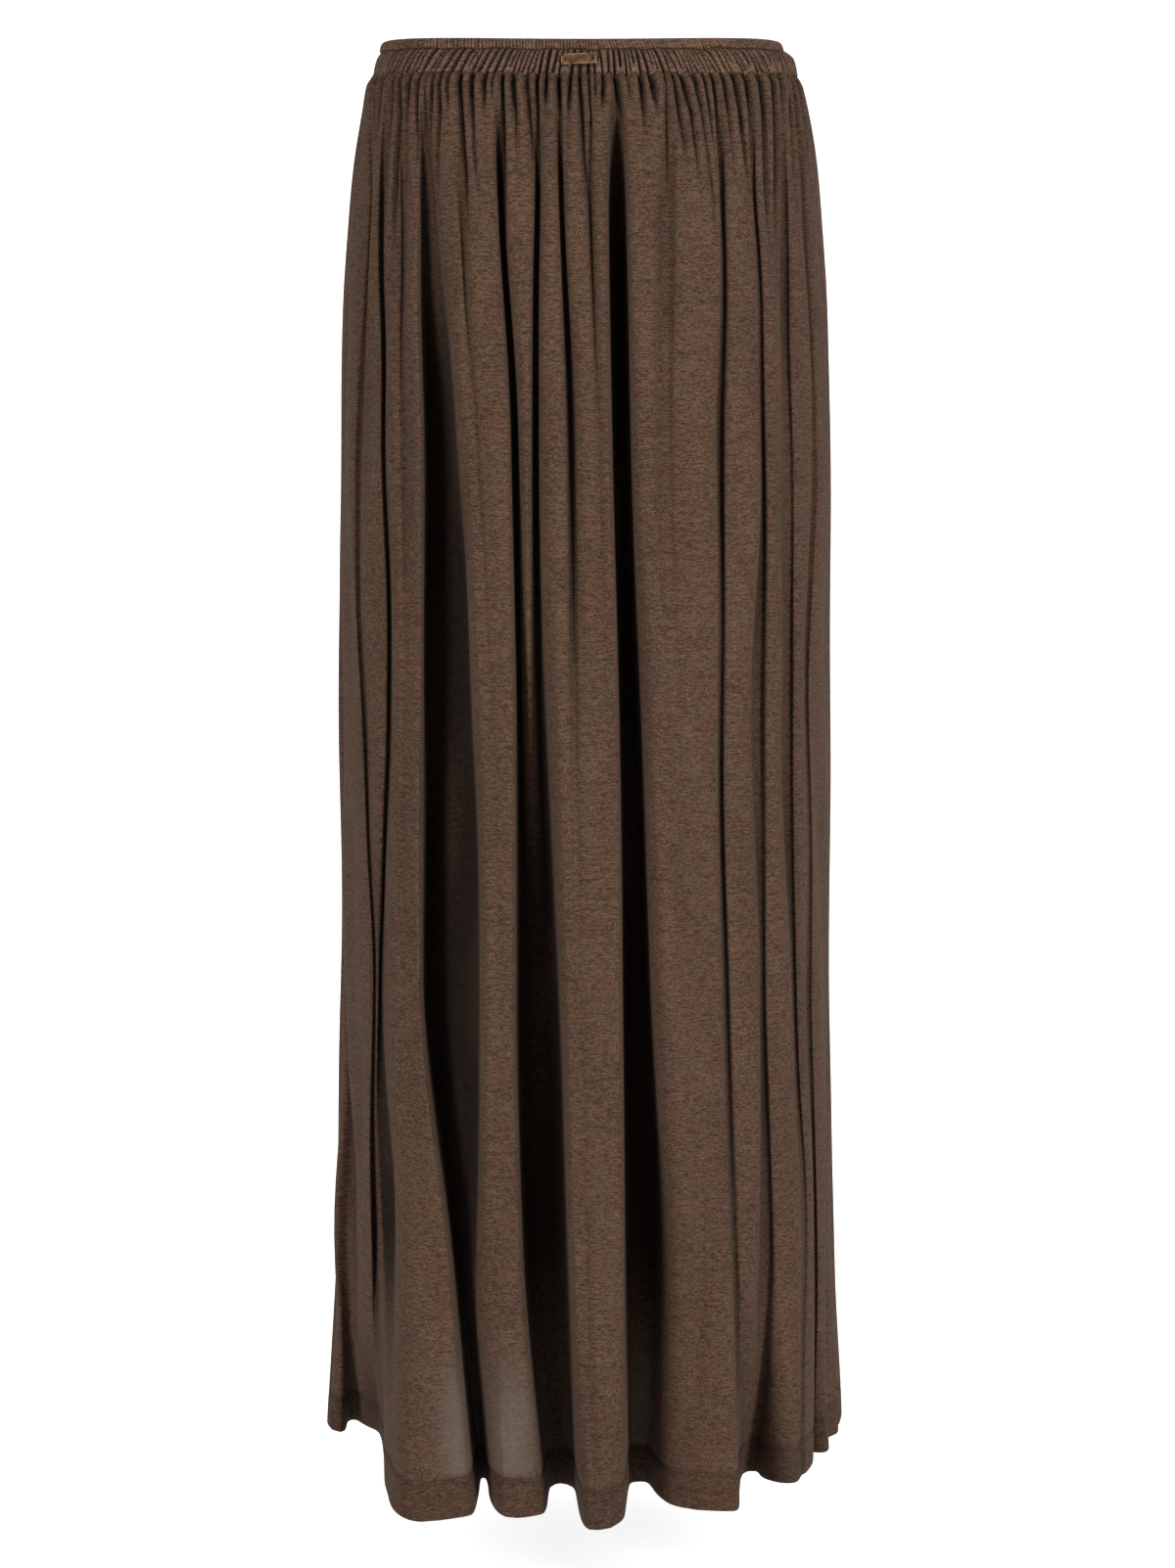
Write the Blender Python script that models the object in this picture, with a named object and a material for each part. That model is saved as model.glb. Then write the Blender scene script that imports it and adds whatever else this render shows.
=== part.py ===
import math
import bpy
import numpy as np
from mathutils import Matrix

# A floor-length jersey skirt, filled out as when worn: an elastic waistband of two
# channels, a front and a back panel that fall from it in folds, and a bare label plate.
# The top edge of the waist lies at z = 0 and the front faces -Y. Sizes in metres.

LENGTH = 0.980            # top edge to hem
BAND_HEIGHT = 0.0258      # waistband, top edge to the seam with the panels
ROLL_HEIGHT = 0.0084      # narrow upper channel of the waistband
BAND_WALL = 0.0026        # elastic with the cloth on both sides
SEAM_GAP = 0.0003
WALL = 0.0011             # jersey
GATHERED_WALL = 0.0023    # jersey pressed together at the waist seam
HEM_HEIGHT = 0.027        # turned-up hem
HEM_WALL = 0.0021         # two layers of jersey
GATHER_RAISE = 0.0011     # a gather's crest above the mean cloth at the waist seam
BAND_RAISE = 0.0007       # the same on the waistband
GATHERS = 52              # across each panel
GATHER_UNEVEN = 0.28      # how far a gather strays from even spacing, in pitches
GATHER_FADE = (0.07, 0.16)  # drops over which the gathers die out
CREST_FULLNESS = 0.0015   # what the rounding takes off a fold's crest
SIDE_LIFT = 0.010         # the hem's sides hang this much higher than its middle

PLATE_WIDTH = 0.0230
PLATE_HEIGHT = 0.0074
PLATE_THICK = 0.0009
PLATE_DROP = 0.0148
PLATE_OFFSET = -0.0042    # left of the middle
PLATE_TILT = 2.2          # degrees, right end higher
PLATE_HOLE = 0.0013
PLATE_HOLE_INSET = 0.0026

# Outline round the fold crests: drop, half width, half depth (mm), squareness
OUTLINE = [
    (0, 137.5, 102.5, 2.5),
    (26, 144, 107, 2.5),
    (60, 154, 117, 2.35),
    (110, 161, 130, 2.2),
    (180, 166.5, 140, 2.2),
    (300, 170.5, 150, 2.3),
    (450, 172, 157, 2.4),
    (700, 175, 165, 2.5),
    (850, 180, 170, 2.55),
    (980, 186.5, 175, 2.6),
]

# Drops (mm) of the columns of the two fold tables
FRONT_DROPS = (110, 260, 450, 620, 790)
BACK_DROPS = (110, 450, 980)

# Each fold: where its lit face begins and ends (degrees round from the front middle,
# to the wearer's left), how deep the recess after it is, and how far the face itself
# stands back from the outline (both mm).
FRONT_FOLDS = [
    ("side_right", (-93.5, -94, -94, -95, -96), (-86.5, -86, -86, -85, -84),
     (7, 9, 11, 12, 12), 0),
    ("low_side", (-85, -84.8, -84.8, -83.8, -82), (-78, -81, -81.5, -79.5, -73.5),
     (7, 8, 9, 10, 17), (1, 3, 5, 4, 0)),
    ("drifting", (-76.3, -79, -79.3, -76.5, -63.5), (-66.5, -65, -59, -53, -51.5),
     (8, 10, 11, 9, 20), (0, 0, 0, 0, 6)),
    ("pinched", (-65, -63, -57, -52, -50.2), (-60, -53, -48.5, -51, -48.4),
     (9, 10, 10, 9, 19), (0, 1, 2, 9, 20)),
    ("wide_1", (-58.5, -51.8, -47.3, -50, -44), (-52.5, -47.5, -44, -44, -38),
     (5, 4, 2, 1, -5), (0, 0, 0, 0, -6)),
    ("wide_2", (-51, -45.5, -42.3, -42.3, -36), (-46.2, -41, -38.6, -38, -30.5),
     (10, 24, 34, 40, 46), (0, 0, 0, 0, -3)),
    ("middle_1", (-44.3, -34, -26.8, -24, -24.6), (-35.5, -27.5, -22.7, -20.4, -20),
     (5, 3, 1, 1, 7), (0, 0, 0, 0, 8)),
    ("middle_2", (-33.7, -26, -21.3, -19.2, -18.6), (-24.3, -18.5, -16.3, -16, -14.3),
     (12, 20, 28, 38, 50), (0, 0, 0, 0, 6)),
    ("sinking", (-22.7, -16.8, -14.9, -12.8, -11.3), (-14.2, -13.3, -11.6, -9.6, -8.2),
     (12, 20, 28, 38, 50), (0, 2, 20, 38, 50)),
    ("centre_1", (-12.6, -11.8, -9.2, -6.2, -4.2), (-7.3, -4.6, -3.5, -2.4, -1),
     (11, 11, 4, 1.5, 1), 0),
    ("centre_2", (-6, -2.4, -1.5, -0.5, 0.8), (0.6, 2.5, 3.2, 3.1, 3.5),
     (7, 3, 1, 1, 0), (0, 0, 0, 0, -2)),
    ("centre_3", (2.2, 4, 5, 4.8, 5), (6.6, 6.8, 8.2, 8.8, 9),
     (15, 30, 42, 52, 62), 0),
    ("broad_1", (11.6, 11.3, 13.2, 14.8, 17), (20.5, 17.5, 20, 22, 24),
     (8, 7, 3, 1, 14), (0, 0, 0, 0, (18, 12))),
    ("broad_2", (24.8, 21.6, 23, 24.5, 27), (37.6, 33, 31.4, 31.5, 33),
     (8, 9, 6, 24, 10), (0, 0, 0, 0, (10, 5))),
    ("twisting", (39.2, 35, 32.6, 38.3, 34.3), (47, 45, 37.3, 41.4, 39.6),
     (7, 8, 20, 6, 24), (0, 0, 0, 1, 4)),
    ("slim_1", (48.3, 46, 43.2, 42.5, 43.3), (56.6, 50.8, 48.5, 49.8, 52),
     (7, 11, 14, 10, 12), (0, 0, 0, 0, 6)),
    ("slim_2", (59, 54.5, 52, 51.8, 54), (67, 64, 56.8, 56.8, 58.5),
     (7, 9, 9, 9, 14), (0, 0, 0, 0, 6)),
    ("slim_3", (69, 66.8, 58.8, 58.8, 60.5), (76.8, 78, 79, 77, 69.5),
     (7, 8, 9, 9, 12), (0, 0, 0, 0, 3)),
    ("low_side_2", (78.6, 80.6, 81.8, 80.2, 73), (85, 84.5, 84.6, 83.4, 81),
     (7, 8, 10, 11, 13), (1, 3, 5, 4, 2)),
    ("side_left", (86.5, 86, 86, 85.5, 84.5), (93.5, 94, 94, 94.5, 95.5),
     (9, 11, 14, 17, 19), 0),
]

# The same folds at the hem, seen from below: face start and end, recess start and end
# (mm, x to the wearer's left and y to the back)
FRONT_HEM = [
    ("side_right", (-185, 18), (-187.5, -12), (-187, -18), (-185.5, -23)),
    ("low_side", (-182, -30), (-173, -29), (-173, -8), (-166, 0)),
    ("drifting", (-162, -12), (-151, -20), (-147, -38), (-144, -60)),
    ("pinched", (-141, -82), (-139, -104), (-137, -126), (-135, -146)),
    ("wide_1", (-132, -172), (-114, -181), (-109, -179), (-104, -177)),
    ("wide_2", (-98, -175), (-79, -163), (-78, -98), (-72, -96)),
    ("middle_1", (-69, -146), (-58, -164), (-55, -165), (-52, -165)),
    ("middle_2", (-48, -166), (-30, -158), (-29, -114), (-26, -107)),
    ("sinking", (-23, -104), (-19, -105), (-16, -107), (-11, -114)),
    ("centre_1", (-9, -170), (-1, -184), (2, -185), (4, -185)),
    ("centre_2", (7, -186), (11, -185), (13, -184), (15, -183)),
    ("centre_3", (18, -182), (26, -166), (29, -102), (40, -100)),
    ("broad_1", (48, -129), (62, -147), (66, -150), (70, -152)),
    ("broad_2", (77, -156), (100, -162), (103, -130), (105, -110)),
    ("twisting", (108, -98), (112, -92), (117, -91), (121, -93)),
    ("slim_1", (124, -114), (147, -120), (150, -108), (151, -102)),
    ("slim_2", (154, -103), (161, -82), (159, -68), (160, -61)),
    ("slim_3", (163, -69), (174, -65), (171, -48), (171, -40)),
    ("low_side_2", (175, -38), (183, -30), (180, -22), (181, -18)),
    ("side_left", (187.5, -14), (186, 16), (165, 20), (163, 31)),
]

BACK_FOLDS = [
    ("back_1", (96, 98, 102), (104, 107, 113), (8, 20, 34), 0),
    ("back_2", (106.5, 111, 118), (114.5, 119, 126), (5, 3, 1), 0),
    ("back_3", (117, 121.5, 128.5), (125, 129.5, 137), (11, 30, 50), 0),
    ("back_4", (127, 137, 146), (136, 144, 154), (8, 20, 36), 0),
    ("back_5", (138, 147.2, 158), (145.5, 151, 161), (10, 24, 40), (0, 8, 34)),
    ("back_6", (147.5, 154, 164), (155, 161, 170.5), (5, 3, 1), 0),
    ("back_7", (157.5, 163.5, 173), (166, 171, 179), (13, 34, 56), 0),
    ("back_8", (169, 178, 187), (177, 185, 193), (5, 2, 1), 0),
    ("back_9", (179.5, 187.3, 195.3), (189, 194.5, 201.5), (12, 30, 52), 0),
    ("back_10", (191.5, 200.5, 208.5), (200, 207.5, 216), (7, 14, 24), 0),
    ("back_11", (202.5, 210.5, 219), (211, 217.5, 226), (10, 28, 48), 0),
    ("back_12", (213.5, 223, 232), (221.5, 229, 237), (8, 10, 12), 0),
    ("back_13", (224, 231.5, 239), (232.5, 237.5, 244), (10, 26, 42), 0),
    ("back_14", (235, 242, 249), (243.5, 248, 253), (7, 9, 14), 0),
    ("back_15", (246, 250.3, 254.5), (254, 255.5, 257), (7, 9, 14), 0),
    ("back_16", (256.5, 257.8, 259), (264, 264, 262.3), (7, 9, 16), (0, 1, 3)),
]

# Where a fold is sampled, in spans of its spline: face 0-1, side, recess 2-3, side
FOLD_SAMPLES = (0.0, 0.5, 1.0, 1.95, 2.5, 3.05)
SEAM_SPAN = 0.5           # the side seams run down the middle of the side folds' faces

# Levels (mm below the top edge) of the panels' points
TOP_LEVELS = (26.1, 60, 110)
LOWER_LEVELS = (185, 300, 450, 620, 780, 850, 905)

# The waistband's section: drop (mm), how far it stands out from the outline (mm)
BAND_PROFILE = ((0, -1.0), (3.6, 0.5), (8.4, -0.9), (25.8, 0.3))
MIN_RECESS = 6.0          # mm, a recess is this wide inside its mouth, where there is room
MIN_FACE = 9.0            # mm, what a face keeps of its width behind its edges


def material(name, colour, roughness, metallic=0.0):
    mat = bpy.data.materials.new(name)
    mat.use_nodes = True
    shader = mat.node_tree.nodes["Principled BSDF"]
    shader.inputs["Base Color"].default_value = (*colour, 1.0)
    shader.inputs["Roughness"].default_value = roughness
    shader.inputs["Metallic"].default_value = metallic
    return mat


def glide(xs, ys, x):
    """Smooth curve through (xs, ys) with no overshoot; ys may hold a row per fold."""
    xs = np.asarray(xs, float)
    ys = np.asarray(ys, float)
    x = min(max(x, xs[0]), xs[-1])
    i = min(int(np.searchsorted(xs, x, side="right")) - 1, len(xs) - 2)
    step = np.diff(xs)
    rise = np.diff(ys, axis=-1) / step
    slope = np.zeros_like(ys)
    a, b = rise[..., :-1], rise[..., 1:]
    same = a * b > 0
    slope[..., 1:-1] = np.where(same, 2 * a * b / np.where(same, a + b, 1.0), 0.0)
    slope[..., 0], slope[..., -1] = rise[..., 0], rise[..., -1]
    h = step[i]
    t = (x - xs[i]) / h
    y0, y1 = ys[..., i], ys[..., i + 1]
    m0, m1 = slope[..., i] * h, slope[..., i + 1] * h
    return ((2 * t**3 - 3 * t**2 + 1) * y0 + (t**3 - 2 * t**2 + t) * m0
            + (3 * t**2 - 2 * t**3) * y1 + (t**3 - t**2) * m1)


def outline_point(degrees, drop, inset):
    """Point of the outline at a bearing and drop (mm), moved inwards by inset (mm)."""
    table = np.array(OUTLINE).T
    half_width = glide(table[0], table[1], drop)
    half_depth = glide(table[0], table[2], drop)
    square = glide(table[0], table[3], drop)
    turn = np.radians(degrees)
    s, c = np.sin(turn), np.cos(turn)
    reach = (np.abs(s / half_width)**square + np.abs(c / half_depth)**square)**(-1 / square)
    return np.stack([(reach - inset) * s, -(reach - inset) * c], axis=-1)


def both(values):
    """A face's set-back for its start and its end, where one number serves both."""
    pairs = [v if isinstance(v, tuple) else (v, v) for v in values]
    return [p[0] for p in pairs], [p[1] for p in pairs]


def fold_columns():
    """Both tables as arrays, a row per fold, on the front table's drops and the hem."""
    drops = FRONT_DROPS + (LENGTH * 1000,)
    columns = [[], [], [], [], []]
    for name, starts, ends, recess, sunk in FRONT_FOLDS + BACK_FOLDS:
        own = FRONT_DROPS if len(starts) == len(FRONT_DROPS) else BACK_DROPS
        near, far = both(sunk if sunk else (0,) * len(own))
        for column, values in zip(columns, (starts, ends, recess, near, far)):
            column.append([float(glide(own, values, d)) for d in drops])
    return [np.array(column) for column in columns]


def table_controls():
    """Spline points (mm) of every fold at each drop: face start, end, recess start, end."""
    left, right, deep, near, far = fold_columns()
    squeeze = 0.16 * (right[:, 0] - left[:, 0])
    drops = (BAND_HEIGHT * 1000,) + FRONT_DROPS + (LENGTH * 1000,)
    left = np.column_stack([left[:, 0] + squeeze, left])
    right = np.column_stack([right[:, 0] - squeeze, right])
    deep, near, far = (np.column_stack([c[:, 0] * 0, c]) for c in (deep, near, far))
    full = CREST_FULLNESS * 1000
    levels = []
    for i, drop in enumerate(drops):
        start, end = left[:, i], right[:, i]
        following = np.append(start[1:], start[0] + 360)
        per_degree = 2 * math.pi * glide(*np.array(OUTLINE).T[:2], drop) / 360
        mouth = (following - end) * per_degree
        spare = np.maximum((end - start) * per_degree - MIN_FACE, 0) / 2
        spare = np.minimum(spare, np.append(spare[1:], spare[0]))
        need = MIN_RECESS * np.clip(deep[:, i] / 8, 0, 1)
        lean = np.minimum(np.maximum(need - mouth, 0) / 2, spare) / per_degree
        bearings = np.stack([start, end, end - lean, following + lean], axis=-1).ravel()
        insets = np.stack([near[:, i] - full, far[:, i] - full, deep[:, i], deep[:, i]],
                          axis=-1).ravel()
        levels.append(outline_point(bearings, drop, insets))
    hem = np.array([row[1:] for row in FRONT_HEM], float).reshape(-1, 2)
    levels[-1][:len(hem)] = hem
    return drops, levels


def fold_controls(drop):
    """Spline points (metres) of the ring at a drop (mm), which follow the outline."""
    table = np.array(OUTLINE).T
    drops, levels = TABLE
    sizes = [(glide(table[0], table[1], d), glide(table[0], table[2], d)) for d in drops]
    shares = np.stack([level / size for level, size in zip(levels, sizes)], axis=-1)
    here = (glide(table[0], table[1], drop), glide(table[0], table[2], drop))
    return glide(drops, shares, drop) * here / 1000


def ring(drop, spans):
    """Points and outward normals, in plan, of the cloth at a drop (mm)."""
    controls = fold_controls(drop)
    total = len(controls)
    base = np.floor(spans).astype(int)
    t = (spans - base)[:, None]
    p0, p1, p2, p3 = (controls[(base + k) % total] for k in (-1, 0, 1, 2))
    point = ((1 - t)**3 * p0 + (3 * t**3 - 6 * t**2 + 4) * p1
             + (-3 * t**3 + 3 * t**2 + 3 * t + 1) * p2 + t**3 * p3) / 6
    along = (-(1 - t)**2 * p0 + (3 * t**2 - 4 * t) * p1
             + (-3 * t**2 + 2 * t + 1) * p2 + t**2 * p3) / 2
    along /= np.linalg.norm(along, axis=1)[:, None]
    return point, np.column_stack([along[:, 1], -along[:, 0]])


def fold_count():
    return len(FRONT_FOLDS) + len(BACK_FOLDS)


def gather_edges():
    """Bearings of the gathers' valleys, once round from the right side seam."""
    rng = np.random.default_rng(11)
    stray = rng.uniform(-GATHER_UNEVEN, GATHER_UNEVEN, 2 * GATHERS + 1)
    stray[[0, GATHERS, -1]] = 0
    return -90 + 180 * (np.arange(2 * GATHERS + 1) + stray) / GATHERS


def fine_samples():
    """Four samples a gather, once round: bearing at the waist, and spline parameter."""
    edges = gather_edges()
    steps = np.arange(8 * GATHERS + 1) / 4
    bearings = np.interp(steps, np.arange(len(edges)), edges)
    spans = np.arange(SEAM_SPAN, 4 * fold_count() + SEAM_SPAN + 0.01, 0.02)
    plan = ring(BAND_HEIGHT * 1000, spans)[0]
    round_waist = np.degrees(np.unwrap(np.arctan2(plan[:, 0], -plan[:, 1])))
    found = np.interp(bearings, round_waist, spans)
    middle = 4 * (len(FRONT_FOLDS) - 1) + SEAM_SPAN
    found[0], found[4 * GATHERS], found[-1] = SEAM_SPAN, middle, spans[-1]
    return bearings, found, steps


def gather_height(drop, steps):
    """Raised part of the small gathers, 1 at the waist seam, dying out unevenly."""
    number = np.floor(steps).astype(int) % (2 * GATHERS)
    noise = np.random.default_rng(5).random((3, 2 * GATHERS))
    fade = GATHER_FADE[0] + (GATHER_FADE[1] - GATHER_FADE[0]) * noise[0][number]
    left = np.clip(1 - (drop / 1000 - BAND_HEIGHT) / fade, 0, 1)
    tall = 0.75 + 0.5 * noise[1][number]
    return (0.5 - 0.5 * np.cos(2 * math.pi * steps)) * tall * left


def with_height(plan, drop):
    """Points of a ring at its drop (mm), the sides of the skirt lifted towards the hem."""
    side = np.abs(plan[:, 0]) * 1000 / OUTLINE[-1][1]
    share = max(drop / 1000 - BAND_HEIGHT - SEAM_GAP, 0) / (LENGTH - BAND_HEIGHT - SEAM_GAP)
    return np.column_stack([plan, -drop / 1000 + SIDE_LIFT * share * side**2])


def panel_rows(first, last, gathers):
    """Outer and inner rows of a panel between two side folds' middles."""
    start, end = 4 * first + SEAM_SPAN, 4 * last + SEAM_SPAN
    spans = (4 * np.arange(fold_count() + 1)[:, None] + np.array(FOLD_SAMPLES)).ravel()
    coarse = spans[(spans > start - 1e-6) & (spans < end + 1e-6)]
    bearings, found, steps = fine_samples()
    fine, steps = found[gathers], steps[gathers]
    hem = (LENGTH - HEM_HEIGHT) * 1000
    outer, inner = [], []
    for drop in TOP_LEVELS:
        point, normal = ring(drop, fine)
        lift = GATHER_RAISE * gather_height(drop, steps)
        outer.append((with_height(point + normal * lift[:, None], drop), fine))
    for drop in LOWER_LEVELS + (hem, LENGTH * 1000):
        outer.append((with_height(ring(drop, coarse)[0], drop), coarse))
    walls = [(drop, GATHERED_WALL) for drop in TOP_LEVELS[:2]]
    walls += [(drop, WALL) for drop in TOP_LEVELS[2:] + LOWER_LEVELS + (hem - 1.5,)]
    walls += [(hem, HEM_WALL), (LENGTH * 1000, HEM_WALL)]
    for drop, wall in walls:
        point, normal = ring(drop, coarse)
        inner.append((with_height(point - normal * wall, drop), coarse))
    side = 1 if first == 0 else -1
    for row, params in outer + inner:
        row[[0, -1], 1] -= side * SEAM_GAP / 2
    return outer, inner


def strip(faces, upper, lower, upper_spans, lower_spans, rising):
    """Triangles between two rows of point numbers. Where their parameters agree, both
    sides of a wall are split the same way, so that they stay parallel: the inner side's
    rows rise where the outer side's fall."""
    i = j = 0
    while i < len(upper) - 1 or j < len(lower) - 1:
        next_i = upper_spans[i + 1] if i < len(upper) - 1 else math.inf
        next_j = lower_spans[j + 1] if j < len(lower) - 1 else math.inf
        if abs(next_i - next_j) < 1e-9:
            a, b, c, d = upper[i], lower[j], lower[j + 1], upper[i + 1]
            faces.extend([(a, b, d), (b, c, d)] if rising else [(a, b, c), (a, c, d)])
            i, j = i + 1, j + 1
        elif next_i < next_j:
            faces.append((upper[i], lower[j], upper[i + 1]))
            i += 1
        else:
            faces.append((upper[i], lower[j], lower[j + 1]))
            j += 1


def wall_object(name, outer, inner, mat, closed):
    """A closed wall from its outer rows and its inner rows, both from the top down."""
    points, numbers, spans = [], [], []
    for row, params in outer + inner[::-1]:
        ids = list(range(len(points), len(points) + len(row)))
        points.extend(map(tuple, row))
        if closed:
            ids.append(ids[0])
            params = np.append(params, params[0] + 4 * fold_count())
        numbers.append(ids)
        spans.append(params)
    faces = []
    for k in range(len(numbers)):
        n = (k + 1) % len(numbers)
        strip(faces, numbers[k], numbers[n], spans[k], spans[n], k >= len(outer))
    if not closed:
        faces.append([row[0] for row in numbers][::-1])
        faces.append([row[-1] for row in numbers])
    mesh = bpy.data.meshes.new(name)
    mesh.from_pydata(points, [], faces)
    mesh.validate()
    mesh.shade_smooth()
    mesh.set_sharp_from_angle(angle=math.radians(50))
    obj = bpy.data.objects.new(name, mesh)
    mesh.materials.append(mat)
    bpy.context.scene.collection.objects.link(obj)
    return obj


def waistband(mat):
    """Ring of two gathered channels, ribbed outside over a plain inside."""
    bearings, spans, steps = fine_samples()
    bearings, spans, steps = bearings[:-1], spans[:-1], steps[:-1]
    outer, inner = [], []
    for drop, out in BAND_PROFILE:
        raised = BAND_RAISE * 1000 * gather_height(BAND_HEIGHT * 1000, steps)
        raised = raised * (0.5 if drop == 0 else 1)
        plan = outline_point(bearings, drop, -out - raised) / 1000
        outer.append((with_height(plan, drop), spans))
    for drop in (0, BAND_HEIGHT * 1000):
        plan = outline_point(bearings[::4], drop, BAND_WALL * 1000) / 1000
        inner.append((with_height(plan, drop), spans[::4]))
    return wall_object("waistband", outer, inner, mat, True), outer


def label_plate(mat, band_rows):
    """Flat plate with a hole near each end, on the crests of the band's gathers."""
    fronts = []
    for row, spans in band_rows[-2:]:
        beside = (np.abs(row[:, 0] - PLATE_OFFSET) < PLATE_WIDTH / 2) & (row[:, 1] < 0)
        fronts.append((row[beside, 1].min(), row[beside, 2].mean()))
    (upper_y, upper_z), (lower_y, lower_z) = fronts
    slope = (lower_y - upper_y) / (lower_z - upper_z)
    lean = math.atan(slope)
    front = upper_y + slope * (-PLATE_DROP - upper_z)
    clear = (SEAM_GAP + PLATE_THICK / 2) / math.cos(lean)
    bpy.ops.mesh.primitive_cube_add(size=1)
    plate = bpy.context.object
    plate.name = plate.data.name = "label_plate"
    plate.data.transform(Matrix.Diagonal((PLATE_WIDTH, PLATE_THICK, PLATE_HEIGHT, 1)))
    plate.location = (PLATE_OFFSET, front - clear, -PLATE_DROP)
    plate.rotation_euler = (-lean, -math.radians(PLATE_TILT), 0)
    plate.data.materials.append(mat)
    for side, end in (("left", -1), ("right", 1)):
        bpy.ops.mesh.primitive_cylinder_add(vertices=12, radius=PLATE_HOLE / 2, depth=0.01)
        cutter = bpy.context.object
        cutter.name = "plate_hole_" + side
        cutter.data.transform(Matrix.Rotation(math.radians(90), 4, "X"))
        cutter.parent = plate
        cutter.location = (end * (PLATE_WIDTH / 2 - PLATE_HOLE_INSET), 0, 0)
        cutter.hide_render = True
        cutter.display_type = "WIRE"
        cut = plate.modifiers.new("hole_" + side, "BOOLEAN")
        cut.operation = "DIFFERENCE"
        cut.solver = "EXACT"
        cut.object = cutter
    return plate


for old in list(bpy.data.objects):
    bpy.data.objects.remove(old)

JERSEY = (0.093, 0.055, 0.038)
TABLE = table_controls()
left_side = len(FRONT_FOLDS) - 1
front_rows = panel_rows(0, left_side, slice(0, 4 * GATHERS + 1))
back_rows = panel_rows(left_side, fold_count(), slice(4 * GATHERS, None))
wall_object("front_panel", *front_rows, material("jersey_front", JERSEY, 0.9), False)
wall_object("back_panel", *back_rows, material("jersey_back", JERSEY, 0.9), False)
band, band_outer = waistband(material("jersey_band", JERSEY, 0.9))
label_plate(material("tan_plate", (0.16, 0.085, 0.045), 0.55), band_outer)
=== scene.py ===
import math
import bpy
import numpy as np
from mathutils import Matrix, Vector


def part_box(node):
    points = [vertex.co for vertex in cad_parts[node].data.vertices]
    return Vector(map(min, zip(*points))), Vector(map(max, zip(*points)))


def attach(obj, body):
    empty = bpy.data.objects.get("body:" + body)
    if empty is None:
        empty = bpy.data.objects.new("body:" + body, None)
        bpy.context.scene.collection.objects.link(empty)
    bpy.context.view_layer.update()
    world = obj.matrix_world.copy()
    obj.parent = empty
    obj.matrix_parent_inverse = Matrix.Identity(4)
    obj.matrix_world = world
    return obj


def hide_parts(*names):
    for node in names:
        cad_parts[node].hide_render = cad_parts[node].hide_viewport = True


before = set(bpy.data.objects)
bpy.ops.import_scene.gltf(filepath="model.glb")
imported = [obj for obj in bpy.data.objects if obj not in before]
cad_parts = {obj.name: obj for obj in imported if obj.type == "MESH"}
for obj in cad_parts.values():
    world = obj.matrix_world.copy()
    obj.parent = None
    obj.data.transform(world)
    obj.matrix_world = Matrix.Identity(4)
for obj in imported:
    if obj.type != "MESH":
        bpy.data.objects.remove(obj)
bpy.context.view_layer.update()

# ---------------------------------------------------------------------------------
# Front and back panels: two widths of heathered brown cotton-mix jersey, cut wide
# and gathered into the waistband, then joined down both sides and hemmed. Filled out
# as when worn, they fall in deep uneven folds. The top edge of the waist is at z = 0.

LENGTH = 980.0            # mm, top edge of the waistband to the hem
SEAM_DROP = 26.1          # mm, top edge to the seam under the waistband
FOLD_TOP = 26.0           # mm, where the folds' heads begin, under the waistband's foot
JERSEY_WALL = 1.1         # mm, one layer of jersey
HEM_WALL = 2.1            # mm, two layers
HEM_LINE = 953.0          # mm, drop of the stitching that holds the turned-up hem
SIDE_LIFT = 10.0          # mm, the hem's sides hang this much higher than its middle
SEAM_LIFT = 2.6           # mm, the elastic pulls the waist's seam this much up
WAIST_SIDE_LIFT = 4.2     # mm, the waist rides this much higher at the sides
CREST_ROUNDING = 0.3      # mm, what the rounding takes off a fold's crest
EDGE_RADIUS = 3.4         # mm, how far from a fold's corner its edge begins to round
SOFT_RADIUS = 13.0        # mm, the same on the side where each lit face begins
FACE_KEPT = 9.0           # mm, the least width that a widened recess leaves of a face
MOUTH_NEEDED = 5.0        # mm, the least width of a deep recess's floor
HEAD_MOUTH = 1.2          # degrees, half a recess's width at its head
GATHER_WIDEST = 6.0       # mm, from a gather's valley to the flat of its puffs
SIDE_GAP = 0.05           # mm, between the panels at the side seams
SEAM_SPAN = 0.5           # the side seams run down the middle of the side folds
SEAM_TUCKS = ((0, 0.9), (1, 0.25), (-1, 0.9), (-2, 0.25))   # column and how far in, mm
PANEL_COLUMNS = 780

# Outline round the folds' crests: drop, half width, half depth (mm), squareness
OUTLINE = np.array([
    (0, 137.5, 102.5, 2.5), (26, 144, 107, 2.5), (60, 154, 117, 2.35),
    (110, 161, 130, 2.2), (180, 166.5, 140, 2.2), (300, 170.5, 150, 2.3),
    (450, 172, 157, 2.4), (700, 175, 165, 2.5), (850, 180, 170, 2.55),
    (980, 186.5, 175, 2.6),
], float).T

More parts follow.
